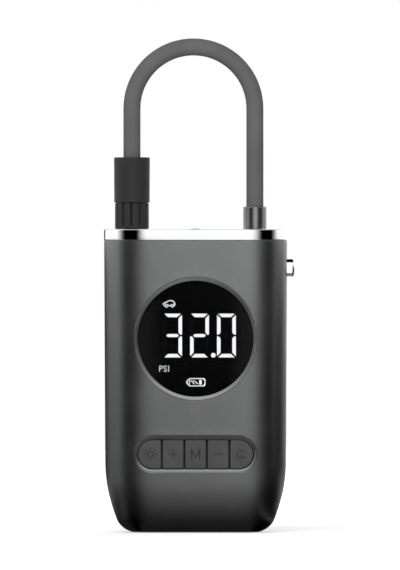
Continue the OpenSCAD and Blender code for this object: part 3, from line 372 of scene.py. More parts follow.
# %% Inner finishes
finish("black_moulding", (0.014, 0.022), (0.45, 0.58), 60, grain(1800, 0.012), (0.06, 0.3))
finish("solder_mask", ((0.008, 0.075, 0.03), (0.012, 0.1, 0.045)), (0.2, 0.32), 120,
       grain(1400, 0.008))
finish("plated_steel", (0.5, 0.6), (0.18, 0.3), 150, streaks(1200, 0.004, Along_X=0.15),
       (0.75, 0.3), Metallic=1)
finish("black_steel", (0.02, 0.035), (0.3, 0.42), 200, grain(2600, 0.006), (0.3, 0.5),
       Metallic=0.9)
finish("turned_brass", ((0.55, 0.36, 0.12), (0.64, 0.44, 0.17)), (0.16, 0.28), 180,
       streaks(900, 0.003, Along_Z=10), Metallic=1)
finish("cast_alloy", (0.44, 0.52), (0.42, 0.56), 110, grain(900, 0.02, Coarse=0.6), (0.66, 0.4),
       Metallic=1)
finish("cell_sleeve", ((0.02, 0.1, 0.26), (0.03, 0.13, 0.32)), (0.22, 0.34), 70,
       streaks(500, 0.006, Along_X=0.2))
finish("wound_poles", ((0.33, 0.13, 0.05), (0.46, 0.21, 0.09)), (0.3, 0.45), 400,
       streaks(1500, 0.03, Along_X=0.05), Metallic=0.8)
finish("gear_nylon", ((0.72, 0.69, 0.6), (0.8, 0.78, 0.7)), (0.42, 0.54), 120, grain(1500, 0.01))
finish("seal_rubber", (0.012, 0.02), (0.5, 0.65), 200, grain(2200, 0.012))
finish("tube_silicone", ((0.55, 0.55, 0.5), (0.64, 0.64, 0.58)), (0.28, 0.38), 200,
       grain(1500, 0.006))
SLOT_FINISH = {
    "shell_paint": "shell_coat", "chrome_plate": "chrome_plating", "bezel_paint": "bezel_coat_painted_highlight",
    "window_glass": "window_smoke", "display_light": "lit_segments", "key_rubber": "key_face",
    "black_plastic": "black_moulding", "lens_clear": "lens_frost", "board_green": "solder_mask",
    "steel_parts": "plated_steel", "brass_parts": "turned_brass", "cell_wrap": "cell_sleeve",
    "copper_iron": "wound_poles", "dark_metal": "anodised_chuck", "ferrule_metal": "gunmetal",
}
SLOT_OF = {part["node"]: part["material_slot"] for part in frame["record"]["subparts"]}


def finish_of(node_name):
    """The finish of a node's slot. Some bear the slot's own name."""
    return FINISHES[SLOT_FINISH.get(SLOT_OF[node_name], SLOT_OF[node_name])]


for node_name, obj in frame["nodes"].items():
    if not obj.material_slots:
        obj.data.materials.append(finish_of(node_name))
    for slot in obj.material_slots:
        slot.material = finish_of(node_name)
print("finishes:", len(FINISHES), "on", len(frame["nodes"]), "nodes")

# %% [markdown]
# ## Helpers for making pieces
# Almost every outer piece is one of three kinds: turned (a profile spun round an axis), swept (a
# profile carried round an outline) or flat (outlines given a thickness). One small tool per kind
# keeps them honest, and a shared rounding function gives every corner the small radius that real
# parts have. A sharp corner catches no light, and that is what makes a render look false.

# %% Mesh helpers
SMOOTH_ANGLE = math.radians(38)
WELD = 0.0005  # vertices closer than this, in millimetres, become one


def add_mesh(name, bm, scale=1.0):
    """Turns a bmesh into an object of the scene."""
    bmesh.ops.scale(bm, vec=(scale, scale, scale), verts=bm.verts)
    mesh = bpy.data.meshes.new(name)
    bm.to_mesh(mesh)
    bm.free()
    obj = bpy.data.objects.new(name, mesh)
    scene.collection.objects.link(obj)
    return obj


def make_piece(name, bm, node_name, body="body", second_finish=None, replaces=True):
    """Turns a bmesh drawn in millimetres into a piece that rides on a body. It has the finish of a
    node's slot, and it replaces that node unless another piece does."""
    bmesh.ops.remove_doubles(bm, verts=bm.verts, dist=WELD)
    bmesh.ops.recalc_face_normals(bm, faces=bm.faces)
    obj = add_mesh(name, bm, MM)
    obj.data.materials.append(finish_of(node_name))
    if second_finish:
        obj.data.materials.append(FINISHES[second_finish])
    settle(obj)
    slot, replaced = SLOT_OF[node_name], [node_name] if replaces else []
    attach(obj, body)
    if replaced:
        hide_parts(*replaced)
    print(name, "rides on", body, "with", len(obj.data.polygons), "faces")
    return obj


def settle(obj):
    """Smooth shading that breaks at true corners. Normals are weighted by area, so that a rounded
    edge doesn't pull at the shading of the large face beside it."""
    mesh = obj.data
    mesh.polygons.foreach_set("use_smooth", [True] * len(mesh.polygons))
    mesh.set_sharp_from_angle(angle=SMOOTH_ANGLE)
    mesh.update()
    obj.modifiers.new("face_weight", "WEIGHTED_NORMAL").keep_sharp = True


# %% Profiles, and what is turned or swept from them
STRAIGHT = math.radians(172)  # from here on a corner counts as none
CORNER_SHARE = 0.45  # of a side's length, at most, goes to the corner at each of its ends
TINY = 1e-6


def soften(points, radius, closed=False, steps=4):
    """Rounds the corners of a line of 2D points, each by its own third value or the radius, or by
    what its sides allow. A closed line ends where it starts."""
    count = len(points)
    made = []
    for i, point in enumerate(points):
        here = Vector(point[:2])
        limit = point[2] if len(point) > 2 else radius
        if not closed and i in (0, count - 1):
            made.append(here)
            continue
        before = Vector(points[i - 1][:2]) - here
        after = Vector(points[(i + 1) % count][:2]) - here
        reach = min(limit, CORNER_SHARE * before.length, CORNER_SHARE * after.length)
        if reach < 1e-4 or before.angle(after) > STRAIGHT:
            made.append(here)
            continue
        start, end = here + before.normalized() * reach, here + after.normalized() * reach
        for k in range(steps + 1):
            t = k / steps
            made.append(start * (1 - t) ** 2 + here * 2 * t * (1 - t) + end * t * t)
    return made + made[:1] if closed else made


def add_grid(bm, rings, wrap_rings=False):
    """Faces between closed rings of vertices that all have as many points."""
    made = [[bm.verts.new(p) for p in ring] for ring in rings]
    count = len(made[0])
    for a, b in zip(made, made[1:] + made[:1] if wrap_rings else made[1:]):
        for i in range(count):
            j = (i + 1) % count
            bm.faces.new((a[i], a[j], b[j], b[i]))
    return made


def loft(profile, ring_at, bm, fill):
    """Joins the rings at the points of a profile. A profile that ends where it starts closes up, and
    otherwise fill says whether the first and the last ring get a face."""
    bm = bm or bmesh.new()
    loop = (profile[0] - profile[-1]).length < TINY
    points = profile[:-1] if loop else profile
    made = add_grid(bm, [ring_at(*point) for point in points], wrap_rings=loop)
    for ring, filled in zip((made[0], made[-1]), fill):
        if filled and not loop:
            bm.faces.new(ring)
    return bm


def circle(radius, steps):
    """Points round the origin."""
    turns = [2 * math.pi * i / steps for i in range(steps)]
    return [(radius * math.cos(a), radius * math.sin(a)) for a in turns]


def lathe(profile, at, steps=96, bm=None, open_ends=False):
    """Spins a profile of (radius, height) round an axis. at turns (u, v, height) into a point."""
    def ring_at(radius, height):
        return [at(u, v, height) for u, v in circle(radius, steps)]

    fill = [not open_ends and profile[k][0] > TINY for k in (0, -1)]
    return loft(profile, ring_at, bm, fill)


# %% Box outlines
def round_corner(steps):
    """A quarter circle in a box of size 1: offsets from the box's upper right corner, and normals."""
    normals = [Vector(p) for p in circle(1, 4 * steps)[:steps + 1]]
    return [(normal - Vector((1, 1)), normal) for normal in normals]


def eased_corner(steps, ease=0.5, fine=40):
    """The same for a quarter turn whose curvature grows and fades gradually."""
    weights = []
    for i in range(steps * fine):
        t = (i + 0.5) / (steps * fine)
        weights.append(min(1.0, t / ease, (1 - t) / ease))
    turn_rate = math.pi / 2 / sum(weights)
    turn, x, y = 0.0, 0.0, 0.0
    samples = [(x, y, turn)]
    for i, weight in enumerate(weights):
        middle = turn + turn_rate * weight / 2
        x, y = x - math.sin(middle), y + math.cos(middle)
        turn += turn_rate * weight
        if (i + 1) % fine == 0:
            samples.append((x, y, turn))
    size = y
    return [
        (Vector((x / size, y / size - 1)), Vector((math.cos(turn), math.sin(turn))))
        for x, y, turn in samples
    ]


def box_path(x0, x1, y0, y1, sizes, corner, straight_steps=1):
    """A box outline as points and outward normals. Its corner at the upper right, upper left, lower
    left and lower right each has a size of its own."""
    arcs = []
    for k, (tip, size) in enumerate(zip(((x1, y1), (x0, y1), (x0, y0), (x1, y0)), sizes)):
        turn = Matrix.Rotation(math.pi / 2 * k, 2)
        arcs.append([(Vector(tip) + turn @ (off * size), turn @ normal) for off, normal in corner])
    path = []
    for arc, following in zip(arcs, arcs[1:] + arcs[:1]):
        path += arc
        (start, normal), end = arc[-1], following[0][0]
        if (end - start).length > TINY:
            shares = [k / straight_steps for k in range(1, straight_steps)]
            path += [(start.lerp(end, share), normal) for share in shares]
    return path


# %% Swept and flat shapes, and ways to face
def sweep(path, profile, at, bm=None, filled=True):
    """Carries a profile of (outset, depth) round a path. at turns (u, v, depth) into a point."""
    def ring_at(outset, depth):
        return [at(*(point + normal * outset), depth) for point, normal in path]

    return loft(profile, ring_at, bm, (filled, filled))


def flat(outlines, depth0, depth1, at, bm=None, material=0):
    """Gives each closed outline of 2D points a thickness."""
    bm = bm or bmesh.new()
    for outline in outlines:
        low, high = ([bm.verts.new(at(*p, depth)) for p in outline] for depth in (depth0, depth1))
        faces = [bm.faces.new(low), bm.faces.new(high[::-1])]
        for i in range(len(outline)):
            j = (i + 1) % len(outline)
            faces.append(bm.faces.new((low[i], high[i], high[j], low[j])))
        for face in faces:
            face.material_index = material
    return bm


def as_points(*pairs):
    """A profile with sharp corners."""
    return [Vector(pair) for pair in pairs]


def facing_front(cx=0.0, cz=0.0):
    """Draws in X and Z, with depth along Y."""
    return lambda u, v, depth: (cx + u, depth, cz + v)


def standing(cx=0.0):
    """Draws in X and Y, with height along Z."""
    return lambda u, v, height: (cx + u, v, height)


# %% Cutting
def carve(obj, cutter_bm):
    """Cuts closed shapes, drawn in millimetres, out of a piece."""
    bmesh.ops.recalc_face_normals(cutter_bm, faces=cutter_bm.faces)
    cutter = add_mesh("cutter", cutter_bm, MM)
    obj.modifiers.clear()
    cut = obj.modifiers.new("cut", "BOOLEAN")
    cut.object = cutter
    cut.solver = "EXACT"
    cut.use_self = True
    bpy.context.view_layer.update()
    graph = bpy.context.evaluated_depsgraph_get()
    carved = bpy.data.meshes.new_from_object(obj.evaluated_get(graph))
    obj.modifiers.clear()
    used = [obj.data, cutter.data]
    obj.data = carved
    obj.data.name = obj.name
    bpy.data.objects.remove(cutter)
    for mesh in used:
        bpy.data.meshes.remove(mesh)
    settle(obj)
    print(obj.name, "after cutting:", len(obj.data.polygons), "faces")


# %% [markdown]
# ## The two shells
# The casing is a rounded column that tucks in towards its base. On the real product its two halves
# meet in one smooth skin, so the skin is drawn as one loft: a rounded rectangle at each height,
# whose half widths follow the arcs of the flanks, the belly and the lower corners. A short moving
# average melts those arcs into each other. The skin gets its wall, is sliced at the seam, and only
# then are the openings cut.

# %% Shell profile
SHELL_TOP = node_box("front_shell")[1].z
HALF_W = node_box("top_cap")[1].x
HALF_D = node_box("top_cap")[1].y
SEAM_Y = node_box("front_shell")[1].y
CORNER_R = 16.0
EASED = 1.34  # how much farther an eased corner reaches than a round one that looks the same
WALL = 2.0
FLANK_R, BELLY_R, FLANK_Z = 61.0, 80.0, 30.8
BASE_R, CORNER_Z, FLANK_OUT, CORNER_DIP = 10.0, 9.85, 0.45, 0.15
DRAFT, DRAFT_FADE = 0.45, 20
MELT, MELT_FROM, MELT_GROWTH, MELT_SAMPLES = 6.0, 4.0, 0.7, 5  # the moving average


def half_at(z, half, arc_radius):
    """Half width at a height, from the flank's arc and the lower corner's arc."""
    if z >= FLANK_Z:
        return half
    arc_x = half + FLANK_OUT - arc_radius
    turn = math.asin((FLANK_Z - CORNER_Z) / (arc_radius - BASE_R))
    corner_x = arc_x + (arc_radius - BASE_R) * math.cos(turn) + CORNER_DIP
    if z >= CORNER_Z - BASE_R * math.sin(turn):
        return min(half, arc_x + math.sqrt(arc_radius**2 - (FLANK_Z - z) ** 2))
    return corner_x + math.sqrt(max(0.0, BASE_R**2 - (CORNER_Z - z) ** 2))


def smooth_half(z, half, arc_radius):
    """The same, averaged over a short stretch that shrinks to nothing at the base."""
    window = min(MELT, MELT_GROWTH * max(0.0, z - MELT_FROM))
    shares = [k / MELT_SAMPLES for k in range(-MELT_SAMPLES, MELT_SAMPLES + 1)]
    return sum(half_at(z + window * k, half, arc_radius) for k in shares) / len(shares)


def side_taper(z):
    """How much narrower the sides are than at the top: mould draft that fades out at the base."""
    rise = (SHELL_TOP - max(z, FLANK_Z)) / (SHELL_TOP - FLANK_Z)
    return DRAFT * rise * min(1.0, z / DRAFT_FADE)


FLAT_SIDE, EASED_SIDE = 1.6, 0.2  # what corners leave straight of the sides' half depth


def section(z, inset=0.0, steps=20, straight_steps=12):
    """The closed outline of the body at a height."""
    a = smooth_half(z, HALF_W, FLANK_R) - side_taper(z) - inset
    b = smooth_half(z, HALF_D, BELLY_R) - inset
    radius = min(CORNER_R, b + inset - FLAT_SIDE) - inset
    reach = min(radius * EASED, b - EASED_SIDE)
    path = box_path(-a, a, -b, b, [reach] * 4, eased_corner(steps), straight_steps)
    return [(p.x, p.y, z) for p, _ in path]


# Levels are close together round the lower corner, and wide apart on the straight part.
low_levels = [CORNER_Z - BASE_R * math.cos(math.radians(a)) for a in range(10, 82, 6)]
LEVELS = [z for z in low_levels if 0.06 < z < 9.0]
for start, step, count in ((9, 1.5, 19), (38, 5.4, 15)):
    LEVELS += [start + i * step for i in range(count)]
LEVELS = [0.0] + LEVELS + [SHELL_TOP - 0.35, SHELL_TOP - 0.1, SHELL_TOP]
print("levels:", len(LEVELS), "from", LEVELS[0], "to", round(LEVELS[-1], 2))

# %% Body skin
SEAM_BEVEL = 0.18


def rim_inset(z):
    """The upper rim is rounded a little, so that a fine dark line shows under the plate."""
    return {SHELL_TOP: 0.3, SHELL_TOP - 0.1: 0.09}.get(z, 0.0)


def body_skin():
    """A closed wall: outer skin, upper rim and inner skin."""
    bm = bmesh.new()
    outer = [section(z, rim_inset(z)) for z in LEVELS]
    inner = [[(x, y, max(z, WALL)) for x, y, z in section(level, WALL)] for level in LEVELS[::-1]]
    made = add_grid(bm, outer + inner[:-1])
    bm.faces.new(made[0])
    bm.faces.new(made[-1])
    bmesh.ops.remove_doubles(bm, verts=bm.verts, dist=0.001)
    bmesh.ops.recalc_face_normals(bm, faces=bm.faces)
    return bm


def half_shell(keep_front):
    """The part of the skin on one side of the seam, closed with a flat cut."""
    bm = body_skin()
    bmesh.ops.bisect_plane(
        bm, geom=bm.verts[:] + bm.edges[:] + bm.faces[:], plane_co=(0, SEAM_Y, 0),
        plane_no=(0, 1, 0), clear_outer=keep_front, clear_inner=not keep_front, dist=1e-5,
    )
    rim = [e for e in bm.edges if e.is_boundary]
    bmesh.ops.holes_fill(bm, edges=rim, sides=0)
    bmesh.ops.recalc_face_normals(bm, faces=bm.faces)
    line = [e for e in bm.edges if all(abs(v.co.y - SEAM_Y) < 1e-4 for v in e.verts)]
    line = [e for e in line if len(e.link_faces) == 2 and e.calc_face_angle(0) > 0.6]
    bmesh.ops.bevel(bm, geom=line, offset=SEAM_BEVEL, segments=2, affect="EDGES", profile=0.6)
    return bm


# %% Openings in the front shell
DISPLAY_LOW, DISPLAY_HIGH = node_box("display_bezel")
DISPLAY_Z = (DISPLAY_LOW.z + DISPLAY_HIGH.z) / 2
BEZEL_R = (DISPLAY_HIGH.x - DISPLAY_LOW.x) / 2
FRAME_LOW, FRAME_HIGH = node_box("keypad_frame")
KEY_Z = (FRAME_LOW.z + FRAME_HIGH.z) / 2
FRAME_W, FRAME_H = FRAME_HIGH.x - FRAME_LOW.x, FRAME_HIGH.z - FRAME_LOW.z
FACE_Y = -HALF_D
BUSH_LOW, BUSH_HIGH = node_box("button_bush")
BUTTON_Z, BUSH_R = (BUSH_LOW.z + BUSH_HIGH.z) / 2, (BUSH_HIGH.z - BUSH_LOW.z) / 2
SLIP = 0.1  # air between two pieces that fit into each other
CUT = 4.0  # how deep the cutters reach


def stadium_path(width, height, steps=24, straight_steps=16, gap=1e-4):
    """A box outline round the origin whose ends are half circles, but for a tiny gap."""
    x, z = width / 2, height / 2
    return box_path(-x, x, -z, z, [min(x, z) - gap] * 4, round_corner(steps), straight_steps)


def mouth(size, edge=0.15):
    """Profile of a cutter from outside to inside, with a small bevel at the outer face."""
    return as_points(
        (size + edge + 1.0, FACE_Y - 1.0), (size + edge, FACE_Y), (size, FACE_Y + edge),
        (size, FACE_Y + CUT),
    )


def facing_right(u, v, depth):
    """Draws in Y and Z round the button's axis, with depth along X."""
    return (depth, u, BUTTON_Z + v)


front_cut = lathe(mouth(BEZEL_R + SLIP), facing_front(0, DISPLAY_Z), steps=128)
keys_opening = stadium_path(FRAME_W + 2 * SLIP, FRAME_H + 2 * SLIP)
sweep(keys_opening, mouth(0.0), facing_front(0, KEY_Z), front_cut)
button_hole = as_points(
    (BUSH_R + 0.5, HALF_W + 1), (BUSH_R + 0.35, HALF_W + 0.001), (BUSH_R + SLIP, HALF_W - 0.25),
    (BUSH_R + SLIP, HALF_W - CUT),
)
lathe(button_hole, facing_right, 64, front_cut)
carve(make_piece("front_casing", half_shell(True), "front_shell"), front_cut)

# %% [markdown]
# The rear shell has the vents behind the crank, the charging socket's slot near the base and four
# deep holes for the case screws. The vents' mouths are bevelled like the display's.

# %% Openings in the rear shell
VENTS, VENT_PITCH, VENT_W, VENT_H, VENT_Z = 5, 5.0, 1.8, 16.0, 82.0
USB_LOW, USB_HIGH = node_box("usb_socket")
USB_AIR = 0.6
USB_W, USB_H = USB_HIGH.x - USB_LOW.x + USB_AIR, USB_HIGH.z - USB_LOW.z + USB_AIR
SCREWS = [(-22.0, 9.0), (22.0, 9.0), (-26.0, 87.0), (26.0, 87.0)]
SCREW_HOLE_R, SCREW_SEAT_Y = 2.6, node_box("case_screws")[1].y - 2.0

rear_cut = bmesh.new()
vent = as_points(
    (0, HALF_D - 3), (0, HALF_D - 0.3), (0.3, HALF_D + 0.001), (0.8, HALF_D + 1)
)
vent_path = stadium_path(VENT_W, VENT_H, 6, 1, gap=1e-3)
for i in range(VENTS):
    sweep(vent_path, vent, facing_front((i - VENTS // 2) * VENT_PITCH, VENT_Z), rear_cut)
usb_path, usb_z = stadium_path(USB_W, USB_H, 12, 1), (USB_LOW.z + USB_HIGH.z) / 2
sweep(usb_path, as_points((0, HALF_D - 6), (0, HALF_D + 2)), facing_front(0, usb_z), rear_cut)
screw_bore = as_points((SCREW_HOLE_R, SCREW_SEAT_Y), (SCREW_HOLE_R, HALF_D + 2))
for x, z in SCREWS:
    lathe(screw_bore, facing_front(x, z), 40, rear_cut)
carve(make_piece("rear_casing", half_shell(False), "rear_shell"), rear_cut)

# %% [markdown]
# ## The chrome plate, the lamp and the side button
# Polished plating shows every change of angle as a line, so the plate's edges are rounded by a third
# of a millimetre, no more. The lamp's lens is a shallow dome that stands just proud of the plate.

# %% Chrome plate
CAP_LOW, CAP_HIGH = node_box("top_cap")
PLATE_BOTTOM, PLATE_TOP = SHELL_TOP + 0.02, CAP_HIGH.z
LENS_R = 2.45
POST_HOLE_R, OUTLET_HOLE_R = 1.7, 4.65
SKIRT_OUT, SKIRT_T = 2.1, 1.2

plate_path = box_path(
    -HALF_W, HALF_W, -HALF_D, HALF_D, [CORNER_R * EASED] * 4, eased_corner(28), straight_steps=10
)
plate_profile = soften(
    [(-SKIRT_OUT - SKIRT_T, PLATE_BOTTOM), (0, PLATE_BOTTOM), (0, PLATE_TOP), (-6, PLATE_TOP)], 0.32
)
plate = sweep(plate_path, plate_profile, standing())
chrome_plate = make_piece("chrome_top_plate", plate, "top_cap")
plate_cut = bmesh.new()
for x, radius in ((0, LENS_R + SLIP), (outlet_x, OUTLET_HOLE_R), (park_x, POST_HOLE_R)):
    hole = as_points(
        (radius, PLATE_BOTTOM - 1), (radius, PLATE_TOP - 0.15), (radius + 0.15, PLATE_TOP + 0.001),
        (radius + 0.8, PLATE_TOP + 1),
    )
    lathe(hole, standing(x), 64, plate_cut)
carve(chrome_plate, plate_cut)

# The skirt is a loop that reaches down inside the shells.
x0, x1, z0, z1 = -SKIRT_OUT, -SKIRT_OUT - SKIRT_T, CAP_LOW.z, PLATE_BOTTOM + 0.5
skirt = as_points((x0, z1), (x0, z0), (x1, z0), (x1, z1), (x0, z1))
make_piece("plate_skirt", sweep(plate_path, skirt, standing()), "top_cap", replaces=False)

# %% Lamp lens
DOME_H = 0.5
DOME_STEPS = 10
dome_r = (LENS_R**2 + DOME_H**2) / (2 * DOME_H)
dome = []
for k in range(DOME_STEPS + 1):
    r = LENS_R * k / DOME_STEPS
    dome.append((r, PLATE_TOP + DOME_H - dome_r + math.sqrt(dome_r**2 - r**2)))
foot_r, foot_z = LENS_R + 0.8, SHELL_TOP - 0.9
lens_profile = as_points(
    *dome, (LENS_R, SHELL_TOP), (foot_r, SHELL_TOP), (foot_r, foot_z), (0, foot_z)
)
make_piece("lamp_lens", lathe(lens_profile, standing(), 64), "led_lens")

# %% Side button
button_low, button_high = node_box("power_button")
BUTTON_R = 3.7
BUTTON_TIP = button_high.x
flange_r = (button_high.z - button_low.z) / 2
button_profile = soften(
    [
        (0, button_low.x), (flange_r, button_low.x), (flange_r, button_low.x + 0.8),
        (BUTTON_R, button_low.x + 0.8), (BUTTON_R, BUTTON_TIP - 0.45, 1.0),
        (BUTTON_R - 1.3, BUTTON_TIP, 1.1), (0, BUTTON_TIP),
    ],
    0.15, steps=6,
)
make_piece("side_button", lathe(button_profile, facing_right), "power_button", "power_button")

# %% [markdown]
# ## The display
# A bevelled ring leads the eye down to a round window. Behind it a black carrier holds the lit
# segments. The segments are true seven-segment bars with pointed ends, so the figures read as a
# gauge's. Around them stand small signs in the same light: a car, a pressure unit and a battery.

# %% Bevelled ring and window
WINDOW_LOW, WINDOW_HIGH = node_box("display_window")
WINDOW_R = (WINDOW_HIGH.x - WINDOW_LOW.x) / 2
RING_IN = 23.7
ring_profile = soften(
    [
        (BEZEL_R, DISPLAY_LOW.y), (RING_IN, DISPLAY_LOW.y + 0.8),
        (RING_IN - 0.05, WINDOW_LOW.y - 0.12), (RING_IN, WINDOW_LOW.y),
        (WINDOW_R + SLIP, WINDOW_LOW.y), (WINDOW_R + SLIP, DISPLAY_HIGH.y),
        (BEZEL_R, DISPLAY_HIGH.y),
    ],
    0.14, closed=True,
)
on_display = facing_front(0, DISPLAY_Z)
# The ring's coat is painted lighter than the body's: a painted highlight.
make_piece("bevelled_ring", lathe(ring_profile, on_display, 160), "display_bezel")
window_profile = soften(
    [(0, WINDOW_LOW.y), (WINDOW_R, WINDOW_LOW.y), (WINDOW_R, WINDOW_HIGH.y), (0, WINDOW_HIGH.y)],
    0.2,
)
make_piece("smoked_window", lathe(window_profile, on_display, 128), "display_window")
for slot in frame["nodes"]["display_module"].material_slots:
    slot.material = FINISHES["display_black"]
print("display ring radius:", round(RING_IN, 1), "to", round(BEZEL_R, 1), "mm")

# %% Shapes for figures and signs
def bar(x0, z0, x1, z1, width):
    """A straight stroke with square ends."""
    along = Vector((x1 - x0, z1 - z0)).normalized() * width / 2
    side = Vector((-along.y, along.x))
    a, b = Vector((x0, z0)), Vector((x1, z1))
    return [a - side, b - side, b + side, a + side]


def arc_band(cx, cz, radius, width, start, end, steps=20):
    """Pieces of a curved stroke, one quad for each step."""
    quads = []
    for k in range(steps):
        angles = [math.radians(start + (end - start) * (k + d) / steps) for d in (0, 1)]
        inner, outer = radius - width / 2, radius + width / 2
        ends = [Vector((math.cos(a), math.sin(a))) for a in angles]
        centre = Vector((cx, cz))
        quads.append([centre + ends[0] * inner, centre + ends[0] * outer,
                      centre + ends[1] * outer, centre + ends[1] * inner])
    return quads


def disc(cx, cz, radius, steps=24):
    """A filled circle."""
    return [Vector((cx + u, cz + v)) for u, v in circle(radius, steps)]


def moved(outlines, dx, dz):
    """The same outlines somewhere else."""
    return [[Vector((p[0] + dx, p[1] + dz)) for p in outline] for outline in outlines]


# %% Figures
DIGIT_W, DIGIT_H, DIGIT_PITCH, BAR_W, BAR_GAP = 7.7, 17.9, 11.0, 1.45, 0.75
FIGURES_X, FIGURES_Z = 1.6, 1.3
# Bars in the order top, upper right, lower right, bottom, lower left, upper left, middle
SEVEN_BARS = {"3": "1111001", "2": "1101101", "0": "1111110"}


def mirrored(outline, x_sign=1, z_sign=1):
    """An outline, turned over where a sign is -1."""
    return [Vector((x_sign * x, z_sign * z)) for x, z in outline]


def figure(character):
    """The lit and the unlit bars of one figure. Their ends are mitred, with a fine gap between."""
    x, z, t = DIGIT_W / 2, DIGIT_H / 2, BAR_W
    gap, step = BAR_GAP / 2, BAR_GAP / math.sqrt(2)
    top = [(step - x, z), (x - step, z), (x - t - step, z - t), (t + step - x, z - t)]
    upper = [(x, z - step), (x, gap), (x - t / 2, gap), (x - t, t / 2 + step), (x - t, z - t - step)]
    middle = [(x - t / 2 - step, 0), (x - t - step, t / 2 - 0.1), (t + step - x, t / 2 - 0.1),
              (t / 2 + step - x, 0), (t + step - x, 0.1 - t / 2), (x - t - step, 0.1 - t / 2)]
    bars = [
        mirrored(top), mirrored(upper), mirrored(upper, 1, -1), mirrored(top, 1, -1),
        mirrored(upper, -1, -1), mirrored(upper, -1), mirrored(middle),
    ]
    return [
        [b for b, state in zip(bars, SEVEN_BARS[character]) if state == wanted] for wanted in "10"
    ]


lit, unlit = [], []
for place_index, character in enumerate("320"):
    on, off = figure(character)
    lit += moved(on, (place_index - 1) * DIGIT_PITCH, 0)
    unlit += moved(off, (place_index - 1) * DIGIT_PITCH, 0)
lit.append(disc(DIGIT_PITCH / 2 + 0.15, 0.9 - DIGIT_H / 2, 0.95))
lit, unlit = moved(lit, FIGURES_X, FIGURES_Z), moved(unlit, FIGURES_X, FIGURES_Z)
print("lit bars and dot:", len(lit), "unlit bars:", len(unlit))

# %% Signs round the figures
def line_through(points, width, closed=False):
    """Strokes from point to point, with a disc on each joint so that the line turns smoothly."""
    ends = points[1:] + points[:1] if closed else points[1:]
    strokes = [bar(*a, *b, width) for a, b in zip(points, ends)]
    return strokes + [disc(x, z, width / 2, 10) for x, z in points]


def car_sign():
    """A car from its side: the line of its body, its sill and two wheels."""
    line = 0.3
    body = [(-2.05, -0.72), (-2.42, -0.35), (-2.42, 0.15), (-1.35, 0.5), (-0.35, 1.22), (1.15, 1.25),
            (2.2, 0.3), (2.25, -0.4), (1.9, -0.72)]
    strokes = line_through(body, line)
    strokes += line_through([(-0.5, -0.72), (0.5, -0.72)], line)
    for side in (-1, 1):
        strokes += arc_band(side * 1.2, -0.85, 0.55, line, 0, 360, 18)
    return strokes


def unit_sign(h):
    """The pressure unit, drawn with strokes that are h high."""
    line = 0.25
    bowl = 0.26 * h
    strokes = [bar(0, 0, 0, h, line), bar(0, h - line / 2, 0.6, h - line / 2, line)]
    strokes += [bar(0, h - 2 * bowl + line / 2, 0.6, h - 2 * bowl + line / 2, line)]
    strokes += arc_band(0.6, h - bowl, bowl - line / 2, line, -90, 90, 10)
    r = h / 4 - 0.02
    strokes += arc_band(2.3, h - r - line / 4, r - line / 4, line, 10, 270, 12)
    strokes += arc_band(2.3, r + line / 4, r - line / 4, line, -170, 90, 12)
    strokes += [bar(3.75, 0, 3.75, h, line)]
    return strokes


def battery_sign():
    """A case with a nose, the charge in it and the sign that it fills."""
    line = 0.34
    case = [(-3.65, 0.35), (-2.5, 1.5), (3.0, 1.5), (3.5, 1.25), (3.72, 0.75), (3.72, -0.75),
            (3.5, -1.25), (3.0, -1.5), (-2.5, -1.5), (-3.65, -0.35)]
    strokes = line_through(case, line, closed=True)
    strokes += [bar(-2.6, -0.9, -2.6, 0.9, 0.3), bar(1.9, -0.95, 1.9, 0.95, 1.0)]
    strokes += line_through([(-1.95, 0.7), (-1.3, 0.1), (-0.75, -0.7)], 0.3)
    strokes += line_through([(-0.95, 0.6), (-0.3, 0.35), (0.8, -0.65)], 0.3)
    return strokes


lit += moved(car_sign(), -10.7, 14.3)
lit += moved(unit_sign(2.5), -14.75, -13.5)
lit += moved(battery_sign(), 0.1, -17.8)
digits_low, digits_high = node_box("display_digits")
segments_bm = flat(lit, digits_low.y, digits_high.y, on_display)
flat(unlit, digits_low.y, digits_high.y, on_display, bm=segments_bm, material=1)
make_piece("lit_segments", segments_bm, "display_digits", second_finish="unlit_segments")

# %% [markdown]
# ## The keypad
# Five keys share one stadium-shaped opening with a bevelled frame. The bevel is what catches the
# light, so it is swept round the stadium with rounded edges. Each key is its own piece, because each
# one moves: a shallow pillow with a soft edge, and its sign printed on top as a very thin layer of
# darker ink in the same piece.

# %% Bevelled frame
RIM, LAND = 1.7, 0.35
frame_profile = soften(
    [
        (0, FRAME_LOW.y, 0.06), (-LAND, FRAME_LOW.y + 0.22), (-LAND - 0.14, FRAME_LOW.y + 0.5),
        (-LAND - 0.22, FRAME_LOW.y + 0.04), (-RIM, FRAME_LOW.y + 0.84, 0.12), (-RIM, FRAME_HIGH.y),
        (0, FRAME_HIGH.y),
    ],
    0.04, closed=True,
)
frame_bm = sweep(stadium_path(FRAME_W, FRAME_H), frame_profile, facing_front(0, KEY_Z))
# The frame's coat is painted lighter than the body's: a painted highlight.
make_piece("bevelled_key_frame", frame_bm, "keypad_frame")

# %% Signs for the keys
def sun_sign():
    """A ring with eight short rays."""
    strokes = arc_band(0, 0, 1.15, 0.5, 0, 360, 24)
    for k in range(8):
        angle = math.radians(45 * k)
        ray = Vector((math.cos(angle), math.sin(angle)))
        strokes.append(bar(ray.x * 1.8, ray.y * 1.8, ray.x * 2.6, ray.y * 2.6, 0.5))
    return strokes


def plus_sign():
    """Two crossed strokes, split so that they don't overlap."""
    return [bar(-1.85, 0, 1.85, 0, 0.6), bar(0, 0.3, 0, 1.85, 0.6), bar(0, -1.85, 0, -0.3, 0.6)]


def mode_sign():
    """Four strokes that step through the modes."""
    feet = [(-1.65, -1.85), (-1.65, 1.75), (0, -1.2), (1.65, 1.75), (1.65, -1.85)]
    return line_through(feet, 0.6)


def minus_sign():
    """One stroke."""
    return [bar(-1.85, 0, 1.85, 0, 0.6)]


